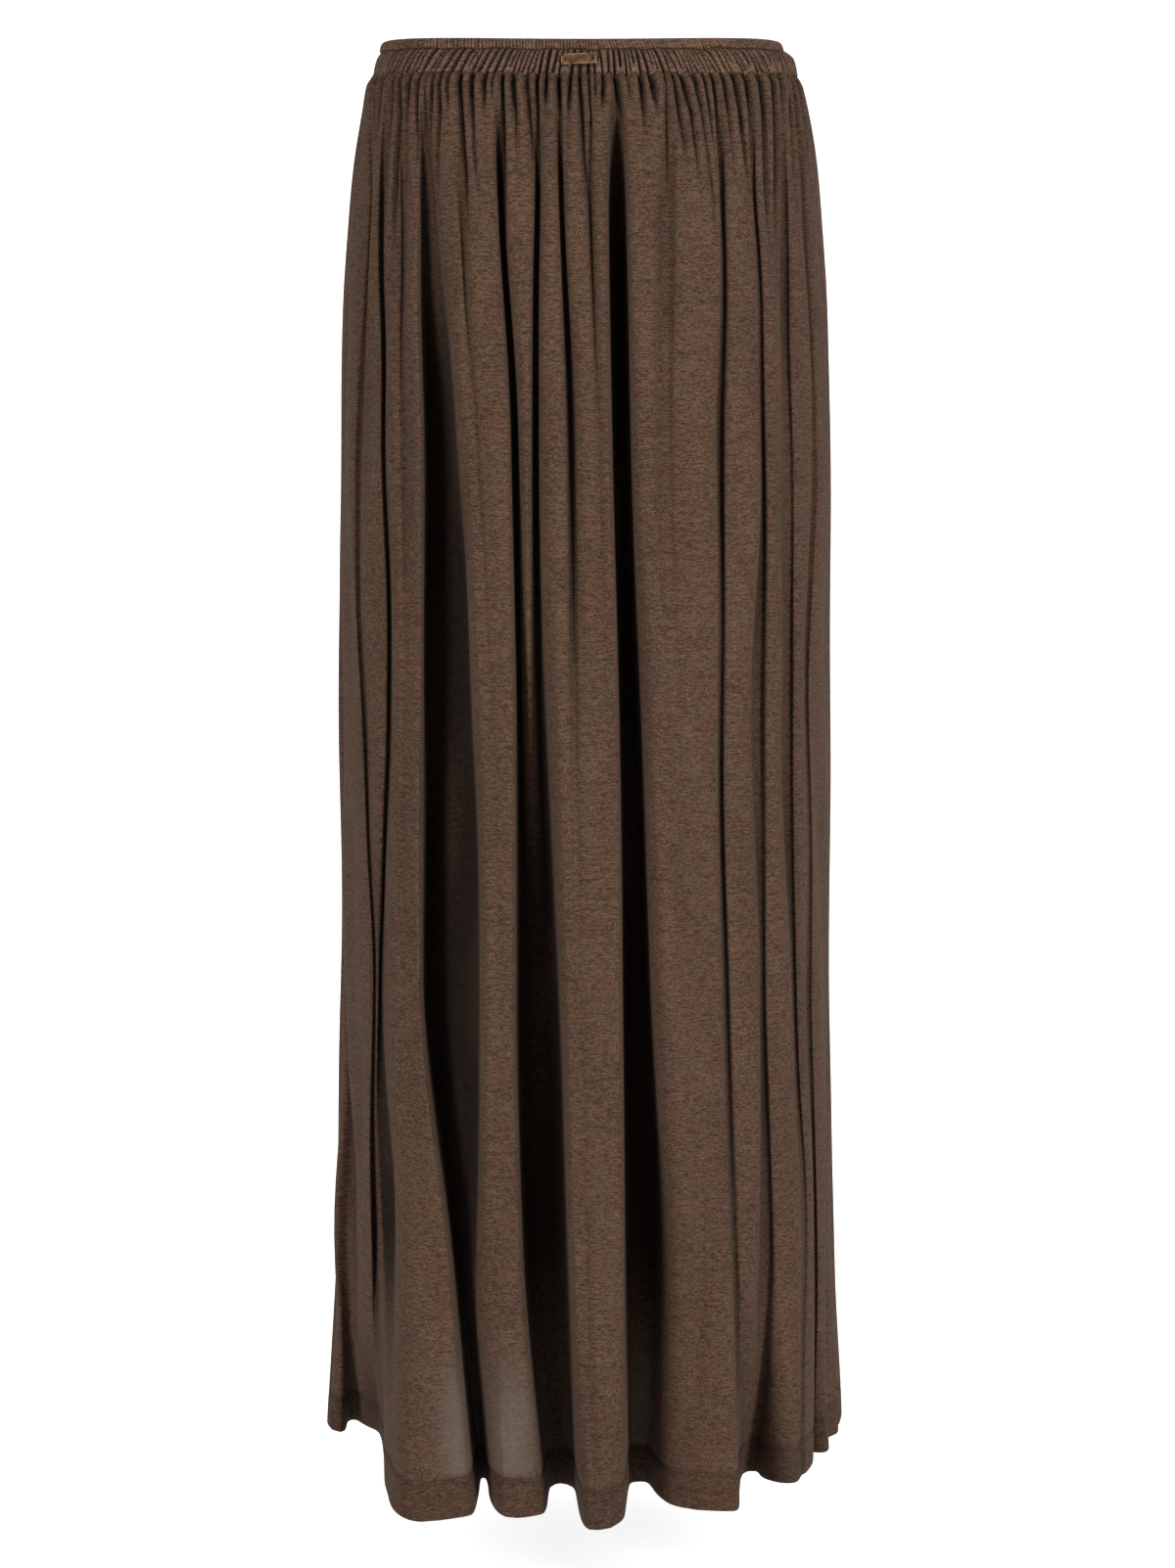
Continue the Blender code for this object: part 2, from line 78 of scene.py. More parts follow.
# Each fold of the front at these drops: where its lit face begins and ends (degrees
# round from the front middle), how deep the recess after it is, and how far the face
# stands back from the outline (mm; a pair where its two edges differ)
FRONT_DROPS = (110, 260, 450, 620, 790)
FRONT_FOLDS = [
    ("side_right", (-93.5, -94, -94, -95, -96), (-86.5, -86, -86, -85, -84),
     (5, 6, 7, 8, 9), 0),
    ("low_side", (-85, -84.8, -84.8, -83.8, -82), (-78, -81, -81.5, -79.5, -73.5),
     (5, 6, 6, 7, 14), (1, 3, 5, 4, 0)),
    ("drifting", (-76.3, -79, -79.3, -76.5, -63.5), (-66.5, -65, -59, -53, -51.5),
     (6, 7, 8, 8, 18), (0, 0, 0, 0, 6)),
    ("pinched", (-65, -63, -57, -52, -50.2), (-60, -53, -48.5, -51, -48.4),
     (9, 10, 11, 15, 21), (0, 1, 2, 8, 19)),
    ("wide_1", (-58.5, -51.8, -47.3, -50, -44), (-52.5, -47.5, -44, -44, -38),
     (5, 4, 2, 1, -5), (0, 0, 0, 0, -6)),
    ("wide_2", (-51, -45.5, -42.3, -42.3, -36), (-46.2, -41, -38.6, -38, -30.5),
     (14, 30, 36, 40, 46), (0, 0, 0, 0, -3)),
    ("middle_1", (-41.5, -31.8, -26.5, -24, -24.6), (-35.5, -27.5, -22.7, -20.4, -20),
     (5, 3, 1, 1, 7), (0, 0, 0, 0, 8)),
    ("middle_2", (-33.7, -26, -21.3, -19.2, -18.6), (-24.3, -18.5, -16.3, -16, -14.3),
     (15, 23, 30, 38, 50), (0, 0, 0, 0, 6)),
    ("sinking", (-22.7, -16.8, -14.9, -12.8, -11.3), (-14.2, -13.3, -11.6, -9.6, -8.2),
     (12, 20, 28, 38, 50), (0, 2, 20, 38, 50)),
    ("centre_1", (-12.6, -11.8, -9.2, -6.2, -4.2), (-7.3, -4.6, -3.5, -2.4, -1),
     (11, 11, 4, 1.5, 1), 0),
    ("centre_2", (-6, -2.4, -1.5, -0.5, 0.8), (0.6, 2.5, 3.2, 3.1, 3.5),
     (7, 3, 1, 1, 0), (0, 0, 0, 0, -2)),
    ("centre_3", (2.2, 4, 5, 4.8, 5), (6.6, 6.8, 8.2, 8.8, 9),
     (24, 36, 43, 52, 62), 0),
    ("broad_1", (11.6, 11.3, 13.2, 14.8, 17), (20.5, 17.5, 20, 22, 24),
     (8, 7, 3, 1, 14), (0, 0, 0, 0, (18, 12))),
    ("broad_2", (24.8, 21.6, 23, 24.5, 27), (37.6, 33, 31.4, 31.5, 33),
     (8, 9, 8, 9, 10), (0, 0, 0, 0, (10, 5))),
    ("twisting", (39.2, 35, 32.6, 32.9, 34.3), (47, 45, 39.4, 41.2, 39.6),
     (7, 8, 11, 8, 17), (0, 0, 0, 1, 4)),
    ("slim_1", (48.3, 46, 43.2, 42.5, 43.3), (56.6, 50.8, 48.5, 49.8, 52),
     (7, 9, 10, 8, 12), (0, 0, 0, 0, 6)),
    ("slim_2", (59, 54.5, 52, 51.8, 54), (67, 64, 56.8, 56.8, 58.5),
     (6, 7, 7, 7, 12), (0, 0, 0, 0, 6)),
    ("slim_3", (69, 66.8, 58.8, 58.8, 60.5), (76.8, 78, 79, 77, 69.5),
     (5, 6, 6, 7, 10), (0, 0, 0, 0, 3)),
    ("low_side_2", (78.6, 80.6, 81.8, 80.2, 73), (85, 84.5, 84.6, 83.4, 81),
     (5, 6, 7, 8, 10), (1, 3, 5, 4, 2)),
    ("side_left", (86.5, 86, 86, 85.5, 84.5), (93.5, 94, 94, 94.5, 95.5),
     (9, 11, 14, 17, 19), 0),
]

# The same folds at the hem, from below: face start and end, recess start and end
# (mm, x to the wearer's left and y to the back)
FRONT_HEM = np.array([
    (-185, 18), (-187.5, -12), (-187, -18), (-185.5, -23),
    (-182, -30), (-173, -29), (-173, -8), (-166, 0),
    (-162, -12), (-151, -20), (-147, -38), (-144, -60),
    (-141, -82), (-139, -104), (-137, -126), (-135, -146),
    (-129, -172), (-113, -181), (-107, -179), (-101, -177),
    (-95, -175), (-74, -163), (-73, -98), (-69, -96),
    (-66, -146), (-56, -164), (-52, -165), (-48, -165),
    (-44, -166), (-26, -158), (-25, -114), (-22, -107),
    (-19, -104), (-16, -105), (-12, -107), (-7, -114),
    (-4, -170), (1, -184), (4, -185), (6, -185),
    (8, -186), (12, -185), (14, -184), (16, -183),
    (19, -182), (27, -166), (30, -102), (43, -100),
    (50, -136), (63, -148), (67, -150), (71, -152),
    (78, -156), (105, -161), (106, -130), (107, -110),
    (110, -98), (113, -92), (117, -91), (121, -93),
    (124, -114), (147, -120), (150, -108), (151, -102),
    (154, -103), (161, -82), (159, -68), (160, -61),
    (163, -69), (174, -65), (171, -48), (171, -40),
    (175, -38), (183, -30), (180, -22), (181, -18),
    (187.5, -14), (186, 16), (165, 20), (163, 31),
], float)

BACK_DROPS = (110, 450, 980)
BACK_FOLDS = [
    ("back_1", (96, 98, 102), (104, 107, 113), (8, 20, 34), 0),
    ("back_2", (106.5, 111, 118), (114.5, 119, 126), (5, 3, 1), 0),
    ("back_3", (117, 121.5, 128.5), (125, 129.5, 137), (11, 30, 50), 0),
    ("back_4", (127, 137, 146), (136, 144, 154), (8, 20, 36), 0),
    ("back_5", (138, 147.2, 157.5), (145.5, 151, 160), (10, 24, 40), (0, 8, 18)),
    ("back_6", (147.5, 154, 164), (155, 161, 170.5), (5, 3, 1), 0),
    ("back_7", (157.5, 163.5, 173), (166, 171, 179), (13, 34, 56), 0),
    ("back_8", (169, 178, 187), (177, 185, 193), (5, 2, 1), 0),
    ("back_9", (179.5, 187.3, 195.3), (189, 194.5, 201.5), (12, 30, 52), 0),
    ("back_10", (191.5, 200.5, 208.5), (200, 207.5, 216), (7, 14, 24), 0),
    ("back_11", (202.5, 210.5, 219), (211, 217.5, 226), (10, 28, 48), 0),
    ("back_12", (213.5, 223, 232), (221.5, 229, 237), (8, 10, 12), 0),
    ("back_13", (224, 231.5, 239), (232.5, 237.5, 244), (10, 26, 42), 0),
    ("back_14", (235, 242, 249), (243.5, 248, 253), (7, 9, 14), 0),
    ("back_15", (246, 250.3, 254.5), (254, 255.5, 257), (7, 9, 14), 0),
    ("back_16", (256.5, 257.8, 259), (264, 264, 262.3), (7, 9, 16), (0, 1, 3)),
]
FOLDS = len(FRONT_FOLDS) + len(BACK_FOLDS)

# Recesses whose floor slants forwards: its depth at the far side beside the near side
FLOOR_RISE = {"wide_2": 0.4}

# How deep (mm) the recesses after the front's folds are at the hem
HEM_RECESSES = (5, 20, 8, 0, 2, 64, 0, 45, 30, 0, 0, 70, 0, 35, 15, 12, 12, 14, 8, 10)

# Where the recess after each front fold starts from under the waistband (degrees)
FRONT_HEADS = (-86, -80, -73.2, -62.3, -55.9, -49.7, -40.4, -27.7, -16, -9.1,
               0, 10.2, 26.5, 40.5, 51, 60.3, 67.5, 77, 84, 94.7)

# The gathers below the waistband's seam, across the front: bearings (degrees) at these
# three drops, depths (mm) near the seam and below it, and the drop where each has died
# out. The ones that last longest run into the folds.
GATHER_DROPS = (27, 50, 94)
FRONT_GATHERS = [
    (-72.9, -69.3, -66.3, 3, 4.2, 110), (-68, -66.4, -65, 3.5, 2.6, 80),
    (-62.2, -60.9, -59.2, 2.6, 4, 130), (-60, -56.7, -55.8, 2.7, 6.2, 140),
    (-55.9, -54.9, -52, 4.4, 2, 130), (-52.7, -51.3, -48.7, 3.7, 3.2, 92),
    (-49.7, -49.7, -46.1, 0.9, 2.4, 130), (-48.9, -47.5, -46.5, 5.7, 2.3, 80),
    (-46.1, -44.3, -42.3, 4.5, 3.6, 118), (-43.6, -41.9, -41.3, 3.5, 0.6, 66),
    (-40.4, -38.2, -34.4, 5, 4.7, 130), (-37.1, -35, -30.7, 5.7, 3.3, 112),
    (-32.9, -31.6, -31.2, 4.8, 0.8, 66), (-30.1, -29, -29, 2.3, 0.3, 46),
    (-27.7, -26.6, -24.1, 4.9, 5.4, 130), (-24.3, -22.2, -19.8, 5.7, 2.6, 92),
    (-19.9, -17.7, -14.3, 3.6, 4, 104), (-16, -15.4, -14, 4.8, 3.9, 130),
    (-13.4, -12.9, -12.9, 3.9, 0.5, 60), (-9.1, -8, -6.5, 5.1, 2.2, 130),
    (-5, -5.7, -6.6, 4.2, 1.8, 80), (-2, -1, 0.4, 4.9, 4.3, 115),
    (1.1, 2.2, 1.8, 2.6, 3.6, 130), (3.5, 2.7, 2.7, 2.8, 0.8, 52),
    (5.9, 5.3, 5.3, 4.8, 0.6, 56), (10.2, 12, 11.5, 4.5, 2, 130),
    (14.4, 15, 15.4, 1.8, 1.1, 64), (18.8, 18.6, 18.4, 5.5, 2.4, 80),
    (21.6, 23.2, 23.5, 4.9, 0.8, 68), (26.4, 25.8, 24.8, 1.2, 2.6, 115),
    (28.4, 29.4, 30.9, 3.7, 3.6, 92), (30.6, 33.1, 33.1, 5.3, 3.7, 104),
    (35.4, 36.3, 36.7, 3.8, 3.3, 135), (38.1, 38.3, 37.9, 4.3, 2.7, 80),
    (40.5, 40.6, 39.8, 4.2, 4.2, 130), (43.8, 43.8, 43.3, 4.5, 2.5, 100),
    (47.4, 47.5, 47.2, 5.4, 4.7, 104), (50.9, 50.5, 48.7, 3.8, 3.1, 130),
    (55.7, 55, 52.9, 4.1, 4.6, 135), (60.2, 59, 56, 6, 6.1, 130),
    (64.2, 61.8, 61.3, 2.7, 1.5, 66), (67.3, 65.4, 62.8, 3.2, 3.6, 110),
    (70.5, 69.6, 68.4, 3.4, 2.2, 90), (74.2, 73.3, 71.2, 2.4, 3.2, 92),
]


def glide(xs, ys, x):
    """Smooth curve through (xs, ys) with no overshoot; ys may hold a row per fold."""
    xs, ys = np.asarray(xs, float), np.asarray(ys, float)
    x = min(max(x, xs[0]), xs[-1])
    i = min(int(np.searchsorted(xs, x, side="right")) - 1, len(xs) - 2)
    step = np.diff(xs)
    rise = np.diff(ys, axis=-1) / step
    slope = np.zeros_like(ys)
    a, b = rise[..., :-1], rise[..., 1:]
    same = a * b > 0
    slope[..., 1:-1] = np.where(same, 2 * a * b / np.where(same, a + b, 1.0), 0.0)
    slope[..., 0], slope[..., -1] = rise[..., 0], rise[..., -1]
    h = step[i]
    t = (x - xs[i]) / h
    y0, y1 = ys[..., i], ys[..., i + 1]
    m0, m1 = slope[..., i] * h, slope[..., i + 1] * h
    return ((2 * t**3 - 3 * t**2 + 1) * y0 + (t**3 - 2 * t**2 + t) * m0
            + (3 * t**2 - 2 * t**3) * y1 + (t**3 - t**2) * m1)


def smooth(x):
    """0 to 1 with eased ends."""
    x = np.clip(x, 0, 1)
    return x * x * (3 - 2 * x)


def outline_size(drop):
    """Half width and half depth (mm) of the outline at a drop (mm)."""
    return glide(OUTLINE[0], OUTLINE[1:3], drop)


def outline_point(degrees, drop, inset):
    """Point of the outline at a bearing and drop, moved inwards by inset (mm)."""
    half_width, half_depth = outline_size(drop)
    square = glide(OUTLINE[0], OUTLINE[3], drop)
    turn = np.radians(degrees)
    s, c = np.sin(turn), np.cos(turn)
    reach = (np.abs(s / half_width)**square + np.abs(c / half_depth)**square)**(-1 / square)
    return np.stack([(reach - inset) * s, -(reach - inset) * c], axis=-1)


def bearing_of(plan):
    """Bearing (degrees) of points in plan, from the front round to the wearer's left."""
    return np.degrees(np.arctan2(plan[:, 0], -plan[:, 1]))


def set_back(degrees, drop, out, back, mouth):
    """Point of the outline moved out (mm), then back from there: straight back as seen
    from the front or the rear, and inwards round the sides, as at the mouth's bearing."""
    turn = np.radians(mouth)
    inward = np.stack([-np.sin(turn), np.cos(turn)], axis=-1)
    facing = np.stack([0 * turn, np.sign(np.cos(turn))], axis=-1)
    share = smooth((np.abs(np.cos(turn)) - 0.25) / 0.35)[:, None]     # 0 at the sides
    way = inward * (1 - share) + facing * share
    way /= np.linalg.norm(way, axis=1)[:, None]
    return outline_point(degrees, drop, -out) + way * back[:, None]


FAR_FLOOR = np.array([FLOOR_RISE.get(fold[0], 1.0) for fold in FRONT_FOLDS + BACK_FOLDS])


def far_floor(drop):
    """Depth of each recess's far side beside its near side, at a drop."""
    return 1 + (FAR_FLOOR - 1) * smooth((drop - 330) / 300)


def fold_levels():
    """Three tables over the drops, with a row for each fold: its corners (face start and
    end, recess start and end) as shares of the outline's size, how deep its recess is
    and how wide the recess's mouth is (mm)."""
    drops = FRONT_DROPS + (LENGTH,)
    columns = [[], [], [], [], []]
    for starts, ends, recess, sunk in (fold[1:] for fold in FRONT_FOLDS + BACK_FOLDS):
        own = FRONT_DROPS if len(starts) == len(FRONT_DROPS) else BACK_DROPS
        pairs = [v if isinstance(v, tuple) else (v, v) for v in (sunk or (0,) * len(own))]
        near, far = zip(*pairs)
        for column, values in zip(columns, (starts, ends, recess, near, far)):
            column.append([float(glide(own, values, d)) for d in drops])
    left, right, deep, near, far = (np.array(column) for column in columns)
    relief = deep - np.minimum(far, np.roll(near, -1, axis=0))
    following = np.append(left[1:, 0], left[0, 0] + 360)
    heads = (right[:, 0] + following) / 2
    heads[:len(FRONT_HEADS)] = FRONT_HEADS
    before = np.append(heads[-1] - 360, heads[:-1])
    left = np.column_stack([before + HEAD_MOUTH, left])
    right = np.column_stack([heads - HEAD_MOUTH, right])
    deep, near, far = (np.column_stack([c[:, 0] * 0, c]) for c in (deep, near, far))
    drops = (FOLD_TOP,) + drops
    shares, mouths = [], []
    for i, drop in enumerate(drops):
        start, end = left[:, i], right[:, i]
        following = np.append(start[1:], start[0] + 360)
        per_degree = 2 * math.pi * outline_size(drop)[0] / 360
        mouth = (following - end) * per_degree
        mouths.append(mouth)
        spare = np.maximum((end - start) * per_degree - FACE_KEPT, 0) / 2
        spare = np.minimum(spare, np.append(spare[1:], spare[0]))
        need = MOUTH_NEEDED * np.clip(deep[:, i] / 8, 0, 1)
        lean = np.minimum(np.maximum(need - mouth, 0) / 2, spare) / per_degree
        full = CREST_ROUNDING if i else 0.0
        middle = (end + following) / 2
        level = np.stack([
            set_back(start, drop, full, near[:, i], start),
            set_back(end, drop, full, far[:, i], end),
            set_back(end - lean, drop, full, deep[:, i], middle),
            set_back(following + lean, drop, full, deep[:, i] * far_floor(drop), middle),
        ], axis=1).reshape(-1, 2)
        if i == len(drops) - 1:
            level[:len(FRONT_HEM)] = FRONT_HEM
        shares.append(level / outline_size(drop))
    relief = np.column_stack([relief[:, 0] * 0, relief])
    relief[:len(FRONT_FOLDS), -1] = HEM_RECESSES
    return tuple((drops, table) for table in (
        np.stack(shares, axis=-1), relief, np.stack(mouths, axis=-1)))


FOLD_LEVELS, RECESS_DEPTHS, RECESS_MOUTHS = fold_levels()


def ring(drop, spans):
    """Points (mm) and outward normals, in plan, of the folds at a drop. The spline has
    a control on each side of every corner, so that the folds' edges stay crisp."""
    corners = glide(*FOLD_LEVELS, drop) * outline_size(drop)
    edges = np.roll(corners, -1, axis=0) - corners
    length = np.linalg.norm(edges, axis=1)
    soft = EDGE_RADIUS + (SOFT_RADIUS - EDGE_RADIUS) * float(smooth((drop - 120) / 380))
    radius = np.where(np.arange(len(corners)) % 4 == 0, soft, EDGE_RADIUS)
    length = np.maximum(length, 0.1)
    leave = np.clip(radius / length, 0.05, 0.42)[:, None]
    reach = np.clip(np.roll(radius, -1) / length, 0.05, 0.42)[:, None]
    controls = np.stack([corners + edges * leave, corners + edges * (1 - reach)],
                        axis=1).reshape(-1, 2)
    place = 2 * spans - 0.5
    base = np.floor(place).astype(int)
    t = (place - base)[:, None]
    p0, p1, p2, p3 = (controls[(base + k) % len(controls)] for k in (-1, 0, 1, 2))
    point = ((1 - t)**3 * p0 + (3 * t**3 - 6 * t**2 + 4) * p1
             + (-3 * t**3 + 3 * t**2 + 3 * t + 1) * p2 + t**3 * p3) / 6
    along = (-(1 - t)**2 * p0 + (3 * t**2 - 4 * t) * p1
             + (-3 * t**2 + 2 * t + 1) * p2 + t**2 * p3) / 2
    along /= np.linalg.norm(along, axis=1)[:, None]
    return point, np.column_stack([along[:, 1], -along[:, 0]])


def turned(degrees):
    """The same angle between -180 and 180."""
    return (degrees + 180) % 360 - 180


def all_gathers():
    """The front's gathers, and uneven ones like them round the sides and the back."""
    rng = np.random.default_rng(17)
    drops, shares = FOLD_LEVELS
    lower = bearing_of(shares[:, :, 1] * outline_size(drops[1])) % 360
    recess = (lower[2::4] + lower[3::4]) / 2
    upper = bearing_of(shares[:, :, 0] * outline_size(drops[0])) % 360
    heads = (upper[2::4] + upper[3::4]) / 2
    found = list(FRONT_GATHERS)
    bearing = FRONT_GATHERS[-1][0] + 4.0
    while bearing < 360 + FRONT_GATHERS[0][0] - 3.0:
        near = int(np.argmin(np.abs(heads - bearing)))
        if abs(heads[near] - bearing) < 2.0:
            top, foot = heads[near], recess[near]
            found.append((top, top * 0.6 + foot * 0.4, foot, rng.uniform(3.2, 5.6),
                          rng.uniform(2.6, 5.2), rng.uniform(112, 132)))
            bearing = top
        else:
            foot = recess[int(np.argmin(np.abs(recess - bearing)))]
            drift = np.clip(foot - bearing, -2.2, 2.2) * rng.uniform(-0.3, 0.9)
            found.append((bearing, bearing + 0.5 * drift, bearing + drift,
                          rng.uniform(2.4, 5.6), rng.uniform(0.6, 4.2),
                          rng.uniform(50, 118)))
        bearing += rng.uniform(3.0, 5.2)
    table = np.array(found)
    table[:, :3] = turned(table[:, :3])
    return table[np.argsort(table[:, 0])]


GATHERS = all_gathers()


def drawn_in(bearing, reach, centres, depths, widest):
    """How far (mm) gathers draw cloth inwards: rounded puffs between sharp valleys."""
    order = np.argsort(centres)
    valleys, deep = centres[order], depths[order]
    after = np.searchsorted(valleys, bearing)
    left, right = (after - 1) % len(valleys), after % len(valleys)
    from_left = (bearing - valleys[left]) % 360
    to_right = (valleys[right] - bearing) % 360
    nearer = from_left < to_right
    away = np.where(nearer, from_left, to_right)
    depth = np.where(nearer, deep[left], deep[right])
    room = np.minimum(np.radians(from_left + to_right) / 2 * reach, widest)
    share = 1 - np.clip(np.radians(away) * reach / np.maximum(room, 0.01), 0, 1)
    return np.minimum(depth, 1.6 * room) * share**2.1


def gather_depth(plan, drop):
    """How far (mm) the gathers draw the panels inwards at each point of a ring."""
    first, second, third = GATHER_DROPS
    top, middle, low, deep, below, end = GATHERS.T
    middle, low = turned(middle - top), turned(low - top)
    drift = (low - middle) / (third - second)
    if drop < second:
        centre = middle * max(drop - first, 0) / (second - first)
    elif drop < third:
        centre = middle + drift * (drop - second)
    else:
        centre = low + 0.6 * drift * (drop - third)
    depth = deep + (below - deep) * smooth((drop - 32) / 22)
    depth = 1.25 * depth * (0.7 + 0.3 * smooth((drop - FOLD_TOP) / 5))
    depth = depth * (1 - smooth((drop - 0.6 * end) / (0.4 * end + 12)))
    reach = np.hypot(plan[:, 0], plan[:, 1])
    return drawn_in(bearing_of(plan), reach, turned(top + centre), depth, GATHER_WIDEST)


# Waves of the hanging cloth: pitch, slant, start and strength, each from 0 to 1
RIPPLES = np.random.default_rng(23).random((14, 4))


def ease(plan, drop):
    """Soft unevenness (mm) of hanging jersey, depending on the bearing and drop alone."""
    bearing = np.arctan2(plan[:, 0], -plan[:, 1])
    total = np.zeros(len(plan))
    for pitch, slant, start, strength in RIPPLES:
        across = bearing * round(6 + 26 * pitch)
        down = drop * (0.012 + 0.02 * slant) * (1 if strength > 0.5 else -1)
        total += (0.4 + 0.6 * strength) * np.sin(across + down + 6.28 * start)
    return 0.34 * total * float(smooth((drop - 40) / 120))


def hung(plan, drop, rise=0.0):
    """Points (metres) of a ring at its drop. The waist rides up a little, most at its
    sides, and the sides are lifted a little towards the hem."""
    share = max(drop - SEAM_DROP, 0) / (LENGTH - SEAM_DROP)
    lift = SIDE_LIFT * share * (plan[:, 0] / OUTLINE[1][-1])**2
    widest = min(outline_size(drop)[0], plan[:, 0].max())
    crown = SEAM_LIFT * smooth(drop / 15) + WAIST_SIDE_LIFT * (plan[:, 0] / widest)**2
    crown = crown * (1 - smooth((drop - 28) / 130))
    return np.column_stack([plan, -drop + lift + crown + rise]) / 1000


def head_valley(plan):
    """1 in the valleys between the folds' heads at the seam, 0 on the heads."""
    depths = np.full(len(GATHERS), 9.0)
    valley = drawn_in(bearing_of(plan), 130.0, GATHERS[:, 0], depths, 5.5)
    return np.clip(valley / 6.0, 0, 1)


HEAD_SWELL = np.random.default_rng(29).uniform(-0.5, 1.9, len(GATHERS))   # mm


def head_swell(plan, drop):
    """How far (mm) each fold's head stands out beyond its neighbours under the seam."""
    head = np.searchsorted(GATHERS[:, 0], bearing_of(plan)) % len(GATHERS)
    return HEAD_SWELL[head] * (1 - head_valley(plan)) * math.exp(-((drop - 32) / 13)**2)


def seam_rise(plan, drop):
    """How far (mm) the puffs between the gathers ride up over the waistband's seam."""
    near = math.exp(-((drop - FOLD_TOP) / (6.0 if drop > FOLD_TOP else 4.2))**2)
    return (1.6 - 2.6 * head_valley(plan)) * near


# Places above the hem's fold where light through the single cloth is painted on: x and
# spread (mm)
PAINTED_BACKLIGHT_PATCHES = ((-86, 11), (-50, 17))


def cloth_point(spans, drop, inset):
    """Points (metres) of a panel's cloth, inset (mm) behind its outer face, and how much
    painted shade (deep in the folds) and painted light (single cloth against the light) each
    one gets, from 0 to 1."""
    plan, normal = ring(drop, spans)
    plan = plan - normal * inset
    puff = -0.3 + 2.2 * smooth((drop - FOLD_TOP) / 6) - 1.0 * smooth((drop - 34) / 26)
    puff *= 1 - float(smooth((drop - 70) / 60))
    gathered = gather_depth(plan, drop)
    hollow = ease(plan, drop)
    draw = gathered - puff - head_swell(plan, drop) + hollow
    reach = np.hypot(plan[:, 0], plan[:, 1])
    points = hung(plan * (1 - draw / reach)[:, None], drop, seam_rise(plan, drop))
    # painted shade, where shade falls inside the recesses, between the gathers and in
    # hollows
    fold = np.floor(spans / 4).astype(int) % FOLDS
    place = spans % 4                     # 0 to 1 is the lit face, 2 to 3 the floor
    deep = glide(*RECESS_DEPTHS, drop)[fold]
    deep = deep * (1 + 0.4 * (far_floor(drop)[fold] - 1) * np.clip(place - 1.9, 0, 1))
    narrow = 1 - smooth((glide(*RECESS_MOUTHS, drop)[fold] - 6) / 9)
    floor = smooth((place - 1.15) / 0.85) * (1 - smooth((place - 3.0) / 0.85))
    recess = floor * smooth((deep - 3 + 1.5 * narrow) / (26 - 15 * narrow))
    sunk = np.hypot(*outline_point(bearing_of(plan), drop, 0).T) - reach
    recess = np.maximum(recess, 0.9 * smooth((sunk - 16) / 20))
    recess *= 1 - (0.95 - 0.4 * narrow) * smooth((drop - 780) / 150)
    sharp = 2.4 + 1.6 * smooth((drop - 35) / 40)
    painted_shade = np.maximum(recess, np.clip(gathered / sharp, 0, 1)**1.8)
    painted_shade = np.clip(painted_shade + 0.1 * hollow, 0, 1)
    # painted light: single cloth above the hem's fold, painted paler where light shows
    # through it
    x, y = plan.T
    patch = np.max([np.exp(-((x - middle) / wide)**2) for middle, wide in PAINTED_BACKLIGHT_PATCHES],
                   axis=0)
    patch = np.maximum(patch * (y < -80), 0.8 * floor * (y < 0) * smooth((deep - 12) / 20))
    painted_backlight = patch * smooth((drop - 845) / 75) * (1 - smooth((drop - HEM_LINE + 4) / 3))
    return points, painted_shade, painted_backlight


def column_spans(first, last, count):
    """Spline parameters of a panel's columns, evenly spaced over its whole height."""
    fine = np.linspace(4 * first + SEAM_SPAN, 4 * last + SEAM_SPAN, 6000)
    weight = np.zeros(len(fine) - 1)
    for drop in (FOLD_TOP, 110, 450, LENGTH):
        point, normal = ring(drop, fine)
        step = np.linalg.norm(np.diff(point, axis=0), axis=1)
        bend = np.linalg.norm(np.diff(normal, axis=0), axis=1)
        weight += step / step.sum() + 0.5 * bend / bend.sum()
    travelled = np.append(0, np.cumsum(weight))
    return np.interp(np.linspace(0, travelled[-1], count), travelled, fine)


def placed(name, data):
    """An object of that mesh, curve, light or camera, in the scene."""
    piece = bpy.data.objects.new(name, data)
    bpy.context.scene.collection.objects.link(piece)
    return piece


